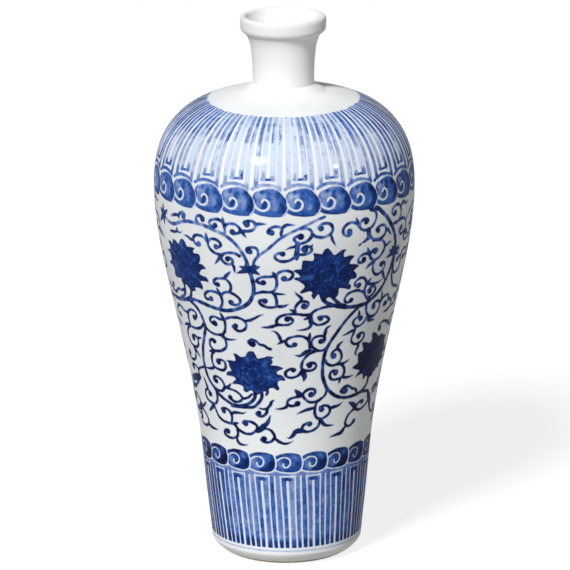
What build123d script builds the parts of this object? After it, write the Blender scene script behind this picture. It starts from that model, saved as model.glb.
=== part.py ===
from build123d import *
import math
import os

# Meiping vase: thrown porcelain sections luted together with slip on a turned foot ring.
# Millimetres, +Z up. The origin is the centre of the circle on which the foot stands.

TOTAL_HEIGHT = 400.0

# Foot ring: its top, and how far its bevel and its contact edge lie inside that
FOOT_RADIUS = 54.7
FOOT_HEIGHT = 8.4
FOOT_BEVEL_INSET = 4.2
FOOT_BEVEL_HEIGHT = 3.8
FOOT_CONTACT_INSET = 9.7
FOOT_CONTACT_WIDTH = 7.0
FOOT_FLARE = 5.9  # degrees from upright, where the wall leaves the foot

# Outer wall of the body: how far each station rises above the one below it, and spreads beyond it.
# The flank's rise takes up what the other rises leave of the total height.
ANKLE_RISE = 38.0
ANKLE_SPREAD = 4.1
SHIN_RISE = 44.0
SHIN_SPREAD = 4.3
WAIST_RISE = 52.0
WAIST_SPREAD = 8.5
FLANK_SPREAD = 15.1
BELLY_RISE = 59.6
BELLY_SPREAD = 8.0

# Dome above the belly: how far each station rises above the one below it, and draws in from it
SHOULDER_RISE = 38.0
SHOULDER_INSET = 6.1
CROWN_RISE = 22.1
CROWN_INSET = 18.7
COLLAR_RISE = 13.5
COLLAR_RADIUS = 28.0
COLLAR_SLOPE = 8.6  # degrees from level, where the dome reaches the neck

# Neck and mouth
THROAT_RISE = 7.0
THROAT_RADIUS = 22.2
NECK_RISE = 20.0
NECK_RADIUS = 23.1
LIP_RISE = 14.8
LIP_ROOT_RADIUS = 27.6
LIP_FLARE = 38.0  # degrees from upright, where the neck meets the lip
LIP_UNDERCUT = 60.0  # degrees from upright, where the lip leaves the neck
LIP_BULGE_RISE = 5.2
LIP_RADIUS = 31.0
LIP_CREST_RISE = 7.4
LIP_CREST_RADIUS = 28.6
MOUTH_DROP = 3.2
MOUTH_RADIUS = 25.8
MOUTH_FLARE = 24.0  # degrees from upright, inside the mouth

# Walls and the hollow
WALL = 5.0
BORE_RADIUS = 17.5
BORE_START = 1.6
BORE_LENGTH = 26.0
BASE_THICKNESS = 6.0
INNER_STATIONS = 16  # points that carry the wall's thickness along the hollow
HALVINGS = 40

# Slip joints: each is set by its height above or below a station
SLIP = 0.6
JOINT_ANGLE = 25.0  # degrees from level, so that each section centres the next
JOINT_REACH = 3.0  # wall thicknesses that a joint's slope runs inwards, to pass through the thick neck
SLIP_BEAD_RADIUS = 1.8
BASE_FILLET = 4.0
LOWER_JOINT_RISE = 2.0  # above the shin
BELLY_JOINT_DROP = 28.0  # below the flank
SHOULDER_JOINT_DROP = 1.0  # below the belly
NECK_JOINT_RISE = 1.0  # above the throat
RIM_JOINT_DROP = 1.2  # below the lip's root


def at(radius, height):
    """A point of the half section, in the XZ plane."""
    return Vector(radius, 0, height)


def leaning(degrees):
    """A direction in the half section, leaning outwards from upright."""
    return at(math.sin(math.radians(degrees)), math.cos(math.radians(degrees)))


def section(*points):
    """A flat face with straight sides in the half section."""
    return Face(Wire.make_polygon(points))


def enclosed(*edges):
    """A flat face bounded by edges that meet end to end."""
    return Face(Wire(edges))


def turned(faces):
    """The solid that a half section sweeps in a full turn about the axis."""
    return revolve(faces, axis=Axis.Z)


def place_at_height(curve, height):
    """The point of a rising curve at a height, found by halving the stretch that holds it."""
    low, high = 0.0, 1.0
    for _ in range(HALVINGS):
        middle = (low + high) / 2
        if (curve @ middle).Z < height:
            low = middle
        else:
            high = middle
    return curve @ low


def inward(curve, share):
    """The point one wall thickness inside a curve that runs upwards."""
    along = curve % share
    return (curve @ share) - at(along.Z, -along.X) * WALL


def slip_band(curve, height):
    """The sloping strip that a slip joint fills where it crosses the wall."""
    outside = place_at_height(curve, height)
    slope = math.radians(JOINT_ANGLE)
    across = at(-math.cos(slope), math.sin(slope))
    half_slip = at(math.sin(slope), math.cos(slope)) * (SLIP / 2)
    start = outside - across * WALL
    end = outside + across * (JOINT_REACH * WALL)
    return section(start - half_slip, start + half_slip, end + half_slip, end - half_slip)


# Heights and radii of the stations, from the foot up to the waist, and from the crest down to the belly
ankle_height = FOOT_HEIGHT + ANKLE_RISE
shin_height = ankle_height + SHIN_RISE
waist_height = shin_height + WAIST_RISE
crest_height = TOTAL_HEIGHT
bulge_height = crest_height - LIP_CREST_RISE
lip_height = bulge_height - LIP_BULGE_RISE
neck_height = lip_height - LIP_RISE
throat_height = neck_height - NECK_RISE
collar_height = throat_height - THROAT_RISE
crown_height = collar_height - COLLAR_RISE
shoulder_height = crown_height - CROWN_RISE
belly_height = shoulder_height - SHOULDER_RISE
flank_height = belly_height - BELLY_RISE
mouth_height = crest_height - MOUTH_DROP
bore_bottom = collar_height + BORE_START
bore_top = bore_bottom + BORE_LENGTH
foot_bevel_radius = FOOT_RADIUS - FOOT_BEVEL_INSET
foot_contact_radius = FOOT_RADIUS - FOOT_CONTACT_INSET
foot_inner_radius = foot_contact_radius - FOOT_CONTACT_WIDTH
ankle_radius = FOOT_RADIUS + ANKLE_SPREAD
shin_radius = ankle_radius + SHIN_SPREAD
waist_radius = shin_radius + WAIST_SPREAD
flank_radius = waist_radius + FLANK_SPREAD
belly_radius = flank_radius + BELLY_SPREAD
shoulder_radius = belly_radius - SHOULDER_INSET
crown_radius = shoulder_radius - CROWN_INSET

# Outer line, from the foot ring up to the crest of the lip
body_line = Spline(
    at(FOOT_RADIUS, FOOT_HEIGHT),
    at(ankle_radius, ankle_height),
    at(shin_radius, shin_height),
    at(waist_radius, waist_height),
    at(flank_radius, flank_height),
    at(belly_radius, belly_height),
    at(shoulder_radius, shoulder_height),
    at(crown_radius, crown_height),
    at(COLLAR_RADIUS, collar_height),
    tangents=[leaning(FOOT_FLARE), leaning(COLLAR_SLOPE - 90)],
)
upright = leaning(0)
neck_root = Spline(body_line @ 1, at(THROAT_RADIUS, throat_height), tangents=[body_line % 1, upright])
neck_line = Spline(
    neck_root @ 1,
    at(NECK_RADIUS, neck_height),
    at(LIP_ROOT_RADIUS, lip_height),
    tangents=[upright, leaning(LIP_FLARE)],
)
lip_under = Spline(neck_line @ 1, at(LIP_RADIUS, bulge_height), tangents=[leaning(LIP_UNDERCUT), upright])
lip_over = Spline(lip_under @ 1, at(LIP_CREST_RADIUS, crest_height), tangents=[upright, leaning(-90)])

# Inner line, from the crest of the lip down to the floor
into_mouth = leaning(180 + MOUTH_FLARE)
lip_inside = Spline(lip_over @ 1, at(MOUTH_RADIUS, mouth_height), tangents=[leaning(-90), into_mouth])
mouth_line = Spline(lip_inside @ 1, at(BORE_RADIUS, bore_top), tangents=[into_mouth, leaning(180)])
bore_line = Line(mouth_line @ 1, at(BORE_RADIUS, bore_bottom))
hollow_foot = at(FOOT_RADIUS - WALL / math.cos(math.radians(FOOT_FLARE)), FOOT_HEIGHT)
hollow_points = [inward(body_line, (step + 1) / INNER_STATIONS) for step in range(INNER_STATIONS)]
hollow_line = Spline(hollow_foot, hollow_points, tangents=[body_line % 0, body_line % 1])
bore_root = Spline(hollow_line @ 1, bore_line @ 1, tangents=[hollow_line % 1, upright])

foot_centre = at(0, FOOT_HEIGHT)
crest_centre = at(0, crest_height)
axis_edges = [Line(foot_centre, crest_centre), Line(crest_centre, lip_over @ 1)]
outline = enclosed(
    body_line, neck_root, neck_line, lip_under, lip_over, *axis_edges, Line(foot_centre, body_line @ 0)
)
hollow = enclosed(
    lip_inside, mouth_line, bore_line, bore_root, hollow_line, *axis_edges, Line(foot_centre, hollow_foot)
)
wall = outline - hollow

# Slip joints through the wall
joints = {
    "lower_slip": slip_band(body_line, shin_height + LOWER_JOINT_RISE),
    "belly_slip": slip_band(body_line, flank_height - BELLY_JOINT_DROP),
    "shoulder_slip": slip_band(body_line, belly_height - SHOULDER_JOINT_DROP),
    "neck_slip": slip_band(neck_line, throat_height + NECK_JOINT_RISE),
    "rim_slip": slip_band(neck_line, lip_height - RIM_JOINT_DROP),
}
beaded = ("lower_slip", "belly_slip", "shoulder_slip")


def slip_joint(name):
    """The slip in one joint, with the bead that it leaves inside the closed body."""
    layer = wall & joints[name]
    if name not in beaded:
        return layer.faces()
    squeezed = min(layer.vertices(), key=lambda corner: corner.X)
    bead = Plane(Vector(squeezed.X, 0, squeezed.Z), z_dir=(0, -1, 0)) * Circle(SLIP_BEAD_RADIUS)
    return (layer + (bead.face() & hollow)).faces()


# Foot ring, floor slab and the slip that seats them
base_bottom = FOOT_HEIGHT + SLIP
base_top = base_bottom + BASE_THICKNESS
base_radius = place_at_height(hollow_line, base_bottom).X - SLIP
foot_bevel = ThreePointArc(
    at(foot_contact_radius, 0), at(foot_bevel_radius, FOOT_BEVEL_HEIGHT), at(FOOT_RADIUS, FOOT_HEIGHT)
)
foot_ring = enclosed(
    foot_bevel,
    Line(foot_bevel @ 1, at(foot_inner_radius, FOOT_HEIGHT)),
    Line(at(foot_inner_radius, FOOT_HEIGHT), at(foot_inner_radius, 0)),
    Line(at(foot_inner_radius, 0), foot_bevel @ 0),
)
foot_layer = section(
    at(foot_inner_radius, FOOT_HEIGHT),
    at(belly_radius, FOOT_HEIGHT),
    at(belly_radius, base_bottom),
    at(foot_inner_radius, base_bottom),
)
base_disc = section(at(0, base_bottom), at(base_radius, base_bottom), at(base_radius, base_top), at(0, base_top))
base_gap = section(
    at(base_radius, base_bottom),
    at(belly_radius, base_bottom),
    at(belly_radius, base_top + BASE_FILLET + belly_radius - base_radius),
    at(base_radius - BASE_FILLET, base_top),
    at(base_radius, base_top),
)

# The wall between the joints, from the bottom up
wall_pieces = wall - foot_layer
for band in joints.values():
    wall_pieces = wall_pieces - band
wall_pieces = wall_pieces.faces().sort_by(Axis.Z)
wall_names = ["lower_wall", "lower_belly", "upper_belly", "shoulder", "neck", "mouth_rim"]

nodes = {
    "foot_ring": foot_ring,
    "base_disc": base_disc,
    "foot_slip": (outline & foot_layer).faces(),
    "base_slip": (hollow & base_gap).faces(),
}
nodes.update(zip(wall_names, wall_pieces, strict=True))
nodes.update((name, slip_joint(name)) for name in joints)

os.makedirs("parts", exist_ok=True)
for name, half_section in nodes.items():
    export_step(turned(half_section), f"parts/{name}.step")
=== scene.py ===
import math
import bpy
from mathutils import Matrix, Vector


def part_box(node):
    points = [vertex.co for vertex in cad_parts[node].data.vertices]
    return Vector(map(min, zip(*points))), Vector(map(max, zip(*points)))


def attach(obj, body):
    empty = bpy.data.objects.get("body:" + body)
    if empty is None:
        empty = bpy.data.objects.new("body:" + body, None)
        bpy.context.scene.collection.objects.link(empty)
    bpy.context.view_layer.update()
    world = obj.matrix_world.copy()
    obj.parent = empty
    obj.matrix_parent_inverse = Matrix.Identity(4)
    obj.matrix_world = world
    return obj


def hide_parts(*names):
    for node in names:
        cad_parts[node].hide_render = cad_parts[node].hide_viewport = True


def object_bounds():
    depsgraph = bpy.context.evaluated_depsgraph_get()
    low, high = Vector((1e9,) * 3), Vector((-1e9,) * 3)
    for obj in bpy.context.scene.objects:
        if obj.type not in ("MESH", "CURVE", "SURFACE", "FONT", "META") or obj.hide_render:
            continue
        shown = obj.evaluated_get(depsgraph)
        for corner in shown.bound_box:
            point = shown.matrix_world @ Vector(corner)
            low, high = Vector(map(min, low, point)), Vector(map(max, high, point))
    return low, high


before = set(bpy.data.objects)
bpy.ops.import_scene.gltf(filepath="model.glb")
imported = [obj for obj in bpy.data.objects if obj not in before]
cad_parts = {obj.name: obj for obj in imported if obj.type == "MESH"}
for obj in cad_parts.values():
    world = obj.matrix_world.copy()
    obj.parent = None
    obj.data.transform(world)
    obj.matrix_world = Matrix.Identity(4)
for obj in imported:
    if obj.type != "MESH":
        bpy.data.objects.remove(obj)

from types import SimpleNamespace

import bmesh
import bpy
import numpy as np
from bpy.props import FloatProperty, FloatVectorProperty, IntProperty, PointerProperty
from mathutils import Matrix, Vector
from mathutils.bvhtree import BVHTree

bl_info = {
    "name": "Meiping vase",
    "version": (1, 0, 0),
    "blender": (4, 5, 0),
    "location": "3D View > Sidebar > Vase",
    "description": "Builds the walls, cobalt painting, glaze and stage of a blue and white meiping vase",
    "category": "Object",
}

CAD_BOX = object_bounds()
MM = 0.001

# The painting. A point is (angle in degrees from the middle of the front, right positive; height in mm).

# The scroll repeats round the belly. The first list of each kind is the repeating unit, and the second is
# the stretch on the left of the front, which the painter drew a little differently.
UNIT_TURN = 72
UNIT_COPIES = 4
# The outer flower of the last copy sits a little farther back than in the other copies.
OUTER_FLOWER = 45
HIDDEN_SLIP = -8

# Stems: (half width in mm, load of cobalt, points).
UNIT_STEMS = (
    (0.8, 0.4, ((-2.5, 257.5), (2, 262), (8, 266.5), (14, 271), (17.5, 273))),
    (1.3, 0.75, ((17, 215), (18.5, 210), (20.5, 207), (23, 205), (26, 203.5), (29, 202.2), (33, 201.2),
        (37, 200.8), (41, 200.9), (44, 201.5), (47, 203.5), (50, 206), (53, 209.5), (55.5, 214),
        (57.5, 219), (59, 225), (59.5, 231), (60, 240), (59, 246), (57.5, 251), (55.5, 256), (53, 261),
        (50.5, 265.5), (48, 269), (45.5, 272.5), (42.5, 275))),
    (1.1, 0.7, ((22, 213), (24, 209.5), (26, 206.5), (28, 204.2), (30.5, 202.6))),
    (0.9, 0.65, ((9, 198.8), (11.5, 198.8), (13, 199.7), (15, 202), (18, 203.3), (21, 203.9), (25, 204))),
    (1.1, 0.65, ((42, 201), (39, 200), (36, 196.5), (33, 192.5), (30, 187.5), (28, 183.5), (26, 179.5),
        (24, 175), (22.5, 170.5), (21.5, 166), (21, 160), (21, 155), (21.3, 150), (22.3, 145.5),
        (24, 140.5), (26, 137), (29, 133.5), (32, 131), (36, 129.3), (40, 128.5), (45, 128.7),
        (50, 129.3), (54, 131.3), (57, 134.5), (57.7, 139))),
    (1.0, 0.65, ((50, 129.3), (55, 129.2), (59, 128.3), (61.5, 126), (63, 122.5), (64, 119), (66, 115))),
    (1.0, 0.7, ((60.3, 232), (60.5, 228), (60.8, 222), (61.5, 216.5), (63, 212), (65, 208.5), (68, 206.5),
        (72, 205))),
)
LEFT_STEMS = (
    (1.0, 0.4, ((-16.5, 236), (-17.5, 241), (-19, 246), (-22, 252.5), (-26.5, 258), (-32, 261),
        (-38, 263.5), (-45, 264), (-50, 263), (-54, 260.5), (-58, 258.4), (-62, 258.6), (-66, 261))),
    (0.8, 0.4, ((-14.5, 236), (-13.5, 241), (-11.8, 244.5), (-7.5, 250), (-2.5, 257.5))),
    (1.2, 0.55, ((-16, 234), (-15.3, 228), (-14.7, 222), (-14.8, 217), (-15.8, 212.5), (-17.3, 208.5),
        (-19.5, 205.5), (-22.5, 203), (-26, 201), (-30, 199.8), (-35, 200), (-40, 201), (-45, 202.3),
        (-50, 203), (-54, 202), (-57, 201), (-61, 199.7), (-66, 198.6), (-73, 198.5), (-80, 198.7))),
    (1.0, 0.55, ((-57, 214), (-56.7, 210), (-57.5, 206), (-59.5, 203), (-63, 200.5))),
    (1.0, 0.55, ((-51.5, 212), (-52, 207.5), (-53.5, 204), (-56.5, 202))),
    (1.1, 0.55, ((-56, 201.5), (-53, 200), (-50.5, 198), (-48.5, 195), (-47, 191), (-46, 186),
        (-46, 181.5), (-47.5, 177), (-49, 172), (-51, 166), (-52.3, 160), (-53, 154), (-52.8, 148),
        (-52, 143), (-50, 138.5), (-47.5, 135), (-45, 131.5), (-42, 129), (-39.5, 127.3), (-36, 125.5),
        (-33, 124.4), (-29, 124.6), (-25, 126), (-22, 128), (-19.8, 130.5), (-18.5, 133.5),
        (-18.3, 137))),
    (1.0, 0.55, ((-35, 123.5), (-30, 123.8), (-24, 124.2), (-20, 125), (-17.5, 127.5), (-15.5, 130.5),
        (-14.2, 134), (-14.3, 138))),
)

# Tendrils, each drawn from its stem inwards to the round knob at its end.
UNIT_TENDRILS = (
    ((-3.9, 229.5), (-3, 232), (-1, 233.5), (1.2, 233.7), (3.1, 232.4), (3.6, 230), (2.4, 227.4),
        (0.6, 226.7), (-0.4, 227.6)),
    ((-6, 190.3), (-3.5, 191.4), (-1, 191.3), (1.5, 191.6), (3.5, 193.3), (3.5, 195.5), (2.2, 196.7),
        (1, 196)),
    ((7, 265.5), (9, 265.4), (11, 264.2), (12, 261.3), (11.3, 258), (9.3, 255.3), (6.8, 254.2),
        (4.9, 255.5), (4.1, 257.8), (5.4, 259.6), (7, 259.3)),
    ((12, 261), (13, 259.5), (15, 258.2), (17.5, 258), (19.6, 259.2), (21, 261.5), (21.2, 264.5),
        (20.2, 267.2), (18, 268.2), (15.9, 267.4), (15, 265.5), (15.9, 264.6)),
    ((5.6, 246.3), (8, 245.8), (10.4, 246.4), (11.8, 248.4), (11.6, 250.6), (10.2, 251.8), (8.6, 251.5),
        (7.9, 250), (8.9, 249.3)),
    ((5, 245.5), (3.2, 242.5), (0.6, 241), (-2, 241), (-4, 243), (-4.3, 245.3), (-2.6, 247.1),
        (-0.9, 246.6)),
    ((5, 201.3), (4.7, 203.5), (5.3, 206.3), (6.8, 208.9), (9, 209.6), (10.8, 208.6), (11.1, 206.5),
        (10, 204.6), (9, 205.6)),
    ((12.9, 199.7), (12.8, 197), (13.5, 193.6), (15, 191.2), (17, 190.2), (20, 190.9), (22.1, 193),
        (21.4, 195.5), (19, 196.7), (16.7, 196.1), (17.8, 195)),
    ((34.2, 262.5), (33, 265), (30.5, 266.5), (28, 265.5), (26.3, 262.5), (26.6, 258.7), (28.5, 256.8),
        (30.3, 258), (29.4, 259.9)),
    ((40.3, 273.4), (43, 271.6), (44, 268), (43.3, 264), (41.5, 260.6), (38.5, 258.9), (35.8, 260),
        (34.6, 263), (35.5, 266.2), (37.7, 267.5), (39.1, 266), (38.1, 265)),
    ((40.8, 253.6), (42.5, 251), (45, 250), (48, 250.3), (50, 252), (50.9, 255), (50.2, 258.2),
        (48, 259.8), (45.9, 259.2), (44.4, 257.5), (45.6, 256.3)),
    ((43, 249.8), (45.5, 249.3), (48, 248.5), (50.2, 246), (51, 241.7), (49.5, 237.6), (47.3, 235.1),
        (44.2, 234.6), (42.2, 237), (42.1, 240), (43.5, 242.4), (45.4, 242.8), (46, 241.2),
        (44.8, 240.9)),
    ((42, 236.8), (41.3, 239.4), (38.6, 240.9), (36.5, 240), (35.1, 237.5), (35.6, 235.2), (37.5, 234.6),
        (38.7, 235.8), (38.2, 236.9)),
    ((45.2, 233.5), (44.4, 229.5), (45, 225.6), (46.8, 222.9), (49, 222.1), (51.5, 223.6), (52.9, 226.5),
        (52.7, 229.4), (51, 230.7), (49.7, 229.8), (50.5, 229.2)),
    ((41.8, 216.5), (41.2, 219.5), (39.8, 221.9), (38, 222.7), (36, 221.7), (34.7, 219.5), (35.2, 217.2),
        (37, 217)),
    ((41.8, 216.5), (41.2, 213.5), (41.3, 210.5), (42.5, 207.5), (45, 205.8), (47.5, 207.6),
        (48.7, 210.4), (47.7, 213.2), (45.5, 213.2), (43.6, 211.4), (44.8, 210.3)),
    ((46.5, 203.2), (44, 205), (42, 208), (40.5, 210.8), (38.5, 212.4), (36.5, 213.3), (33.5, 213),
        (31.1, 211.5), (29.8, 208.6), (30.3, 206), (32, 205.2), (33.6, 206.5)),
    ((55.3, 257), (57, 258.2), (59.2, 258.2), (61.5, 260), (62.7, 264), (61.9, 268.4), (60, 271.1),
        (57.2, 271.3), (55.2, 269.4), (54.7, 266.6), (56, 264.7), (57.2, 265.7)),
    ((60.5, 258.6), (64, 259.2), (67, 258), (68.9, 254.6), (68.9, 250.7), (67, 248.2), (64.5, 247.3),
        (62.6, 249.1), (62.2, 251.5), (63.4, 253), (64.1, 252.1)),
    ((44.3, 201.5), (44.1, 198), (45, 193.6), (47, 190.7), (50, 189.3), (53, 190.7), (54.8, 194.5),
        (54.4, 198.8), (52.5, 200.5), (50.1, 199.9), (48.9, 198), (49.8, 196.7)),
    ((55.3, 199), (57.2, 201.5), (60, 202.6), (62.2, 201.3), (62.8, 198), (61.4, 195.2), (59.8, 195.8)),
    ((45.5, 189.5), (44, 186.2), (41.2, 184.3), (38.3, 185), (36.7, 187.8), (37.6, 190.7), (39.8, 191.5),
        (41.4, 190.3)),
    ((39, 184), (38.3, 180), (37.3, 176.5), (37.4, 173.2), (39, 171), (41.5, 170.2), (44.4, 171.6),
        (46.1, 174.5), (45.8, 177.2), (43.5, 178.3), (41.2, 177), (42.2, 175.9)),
    ((72, 176.5), (68, 179.3), (65, 180.5), (62.5, 181.2), (60, 180.5), (58.7, 178.4), (59.8, 176.5)),
    ((47.5, 131.5), (46, 133.5), (43, 134.9), (41.5, 136.3), (39, 137.8), (36.2, 136.9), (34.6, 134.6),
        (36.4, 133.2), (38, 134)),
    ((22.3, 161.5), (23.5, 158.5), (26, 156.7), (28.8, 156.6), (31, 158.5), (32.2, 161.5), (31.7, 165),
        (30.2, 168), (28.2, 168.8), (26.3, 167.3), (25.9, 165), (27.1, 164)),
    ((31.5, 156.8), (33.7, 155), (35.2, 151.5), (35.1, 147.7), (33.5, 145.6), (31, 144.9), (28, 145),
        (26.2, 147), (26, 150.4), (27.6, 152.2), (29.8, 151.6), (29.4, 150.2)),
    ((22.3, 171.5), (20.5, 169.7), (18, 169.6), (16, 171), (14.1, 173.6), (13.6, 177), (15, 180.2),
        (17.5, 181.3), (20, 180.7), (20.9, 178.4), (20.2, 176.4), (18.8, 176.9)),
    ((16.5, 169.6), (14, 170), (13, 172.5), (12.6, 176), (12, 178.7), (11, 180.2), (9, 181.8),
        (6.5, 182.3), (4, 181.8), (1.5, 180.6), (0.2, 178), (1.2, 175.1), (3.2, 174.2), (4.8, 175.6)),
    ((16, 169.4), (12.7, 167.5), (10.4, 164.5), (9.1, 161), (8.8, 157.5), (9.5, 155.6), (11, 154.6),
        (13.5, 154.2), (15.9, 155.2), (17.1, 157.4), (16.2, 159.8), (14.1, 160.5), (12.3, 159.4),
        (13.3, 158.4)),
    ((9, 154.5), (7.3, 151.2), (4.6, 149.6), (2.1, 149.5), (0.2, 150.9), (-0.1, 153.2), (1.1, 155.4),
        (3.1, 156.3), (4.4, 155.4)),
    ((24.3, 139), (24.5, 135.7), (23.5, 133), (21.5, 131), (19.5, 129.6), (17, 128.9), (14, 129.4),
        (12, 131.4), (10.3, 134), (10.3, 136.2), (12, 138.5), (14.5, 139.7), (16.9, 138.9), (17.5, 136.6),
        (16.4, 134.7), (15.1, 135.1)),
    ((9.5, 134.6), (7.5, 134), (5, 133.5), (2.5, 132.5), (1.1, 130.5), (1.2, 128), (3, 126.9),
        (5.3, 127.1), (7, 128.5)),
    ((19.3, 129.5), (18.3, 126.5), (17.9, 123.2), (18, 120), (18.9, 117.1), (20.6, 115.5), (23, 115.2),
        (26, 116.6), (27.9, 119), (28.1, 122), (26.4, 124.5), (23.5, 125.2), (21.2, 124.1),
        (22.4, 122.3)),
    ((21.3, 115.3), (21.6, 112.5), (21, 110), (19.5, 108), (16.5, 106.2), (13.5, 105.8), (11.2, 106.6),
        (10.2, 108.6), (10.9, 110.9), (13, 112.3), (14.9, 111.8)),
    ((63.2, 122.5), (61.5, 119.2), (58.5, 117.1), (54, 115.5), (50.6, 116.2), (49, 118.3), (50.8, 120.8),
        (53.3, 122.2), (55, 121.2)),
    ((49, 117.5), (46, 116.5), (43, 114), (41.3, 110.5), (41, 107.5), (43, 105.3), (46, 105.2),
        (48.7, 107.7)),
    ((61, 230), (61, 225), (62, 220.5), (64.5, 218), (68, 220), (69, 225), (67, 230), (64.5, 228)),
    ((63.5, 119.5), (65.5, 114.8), (68.5, 110.6), (72, 108.2), (75.2, 109.4), (74.4, 112.4)),
)
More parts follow.
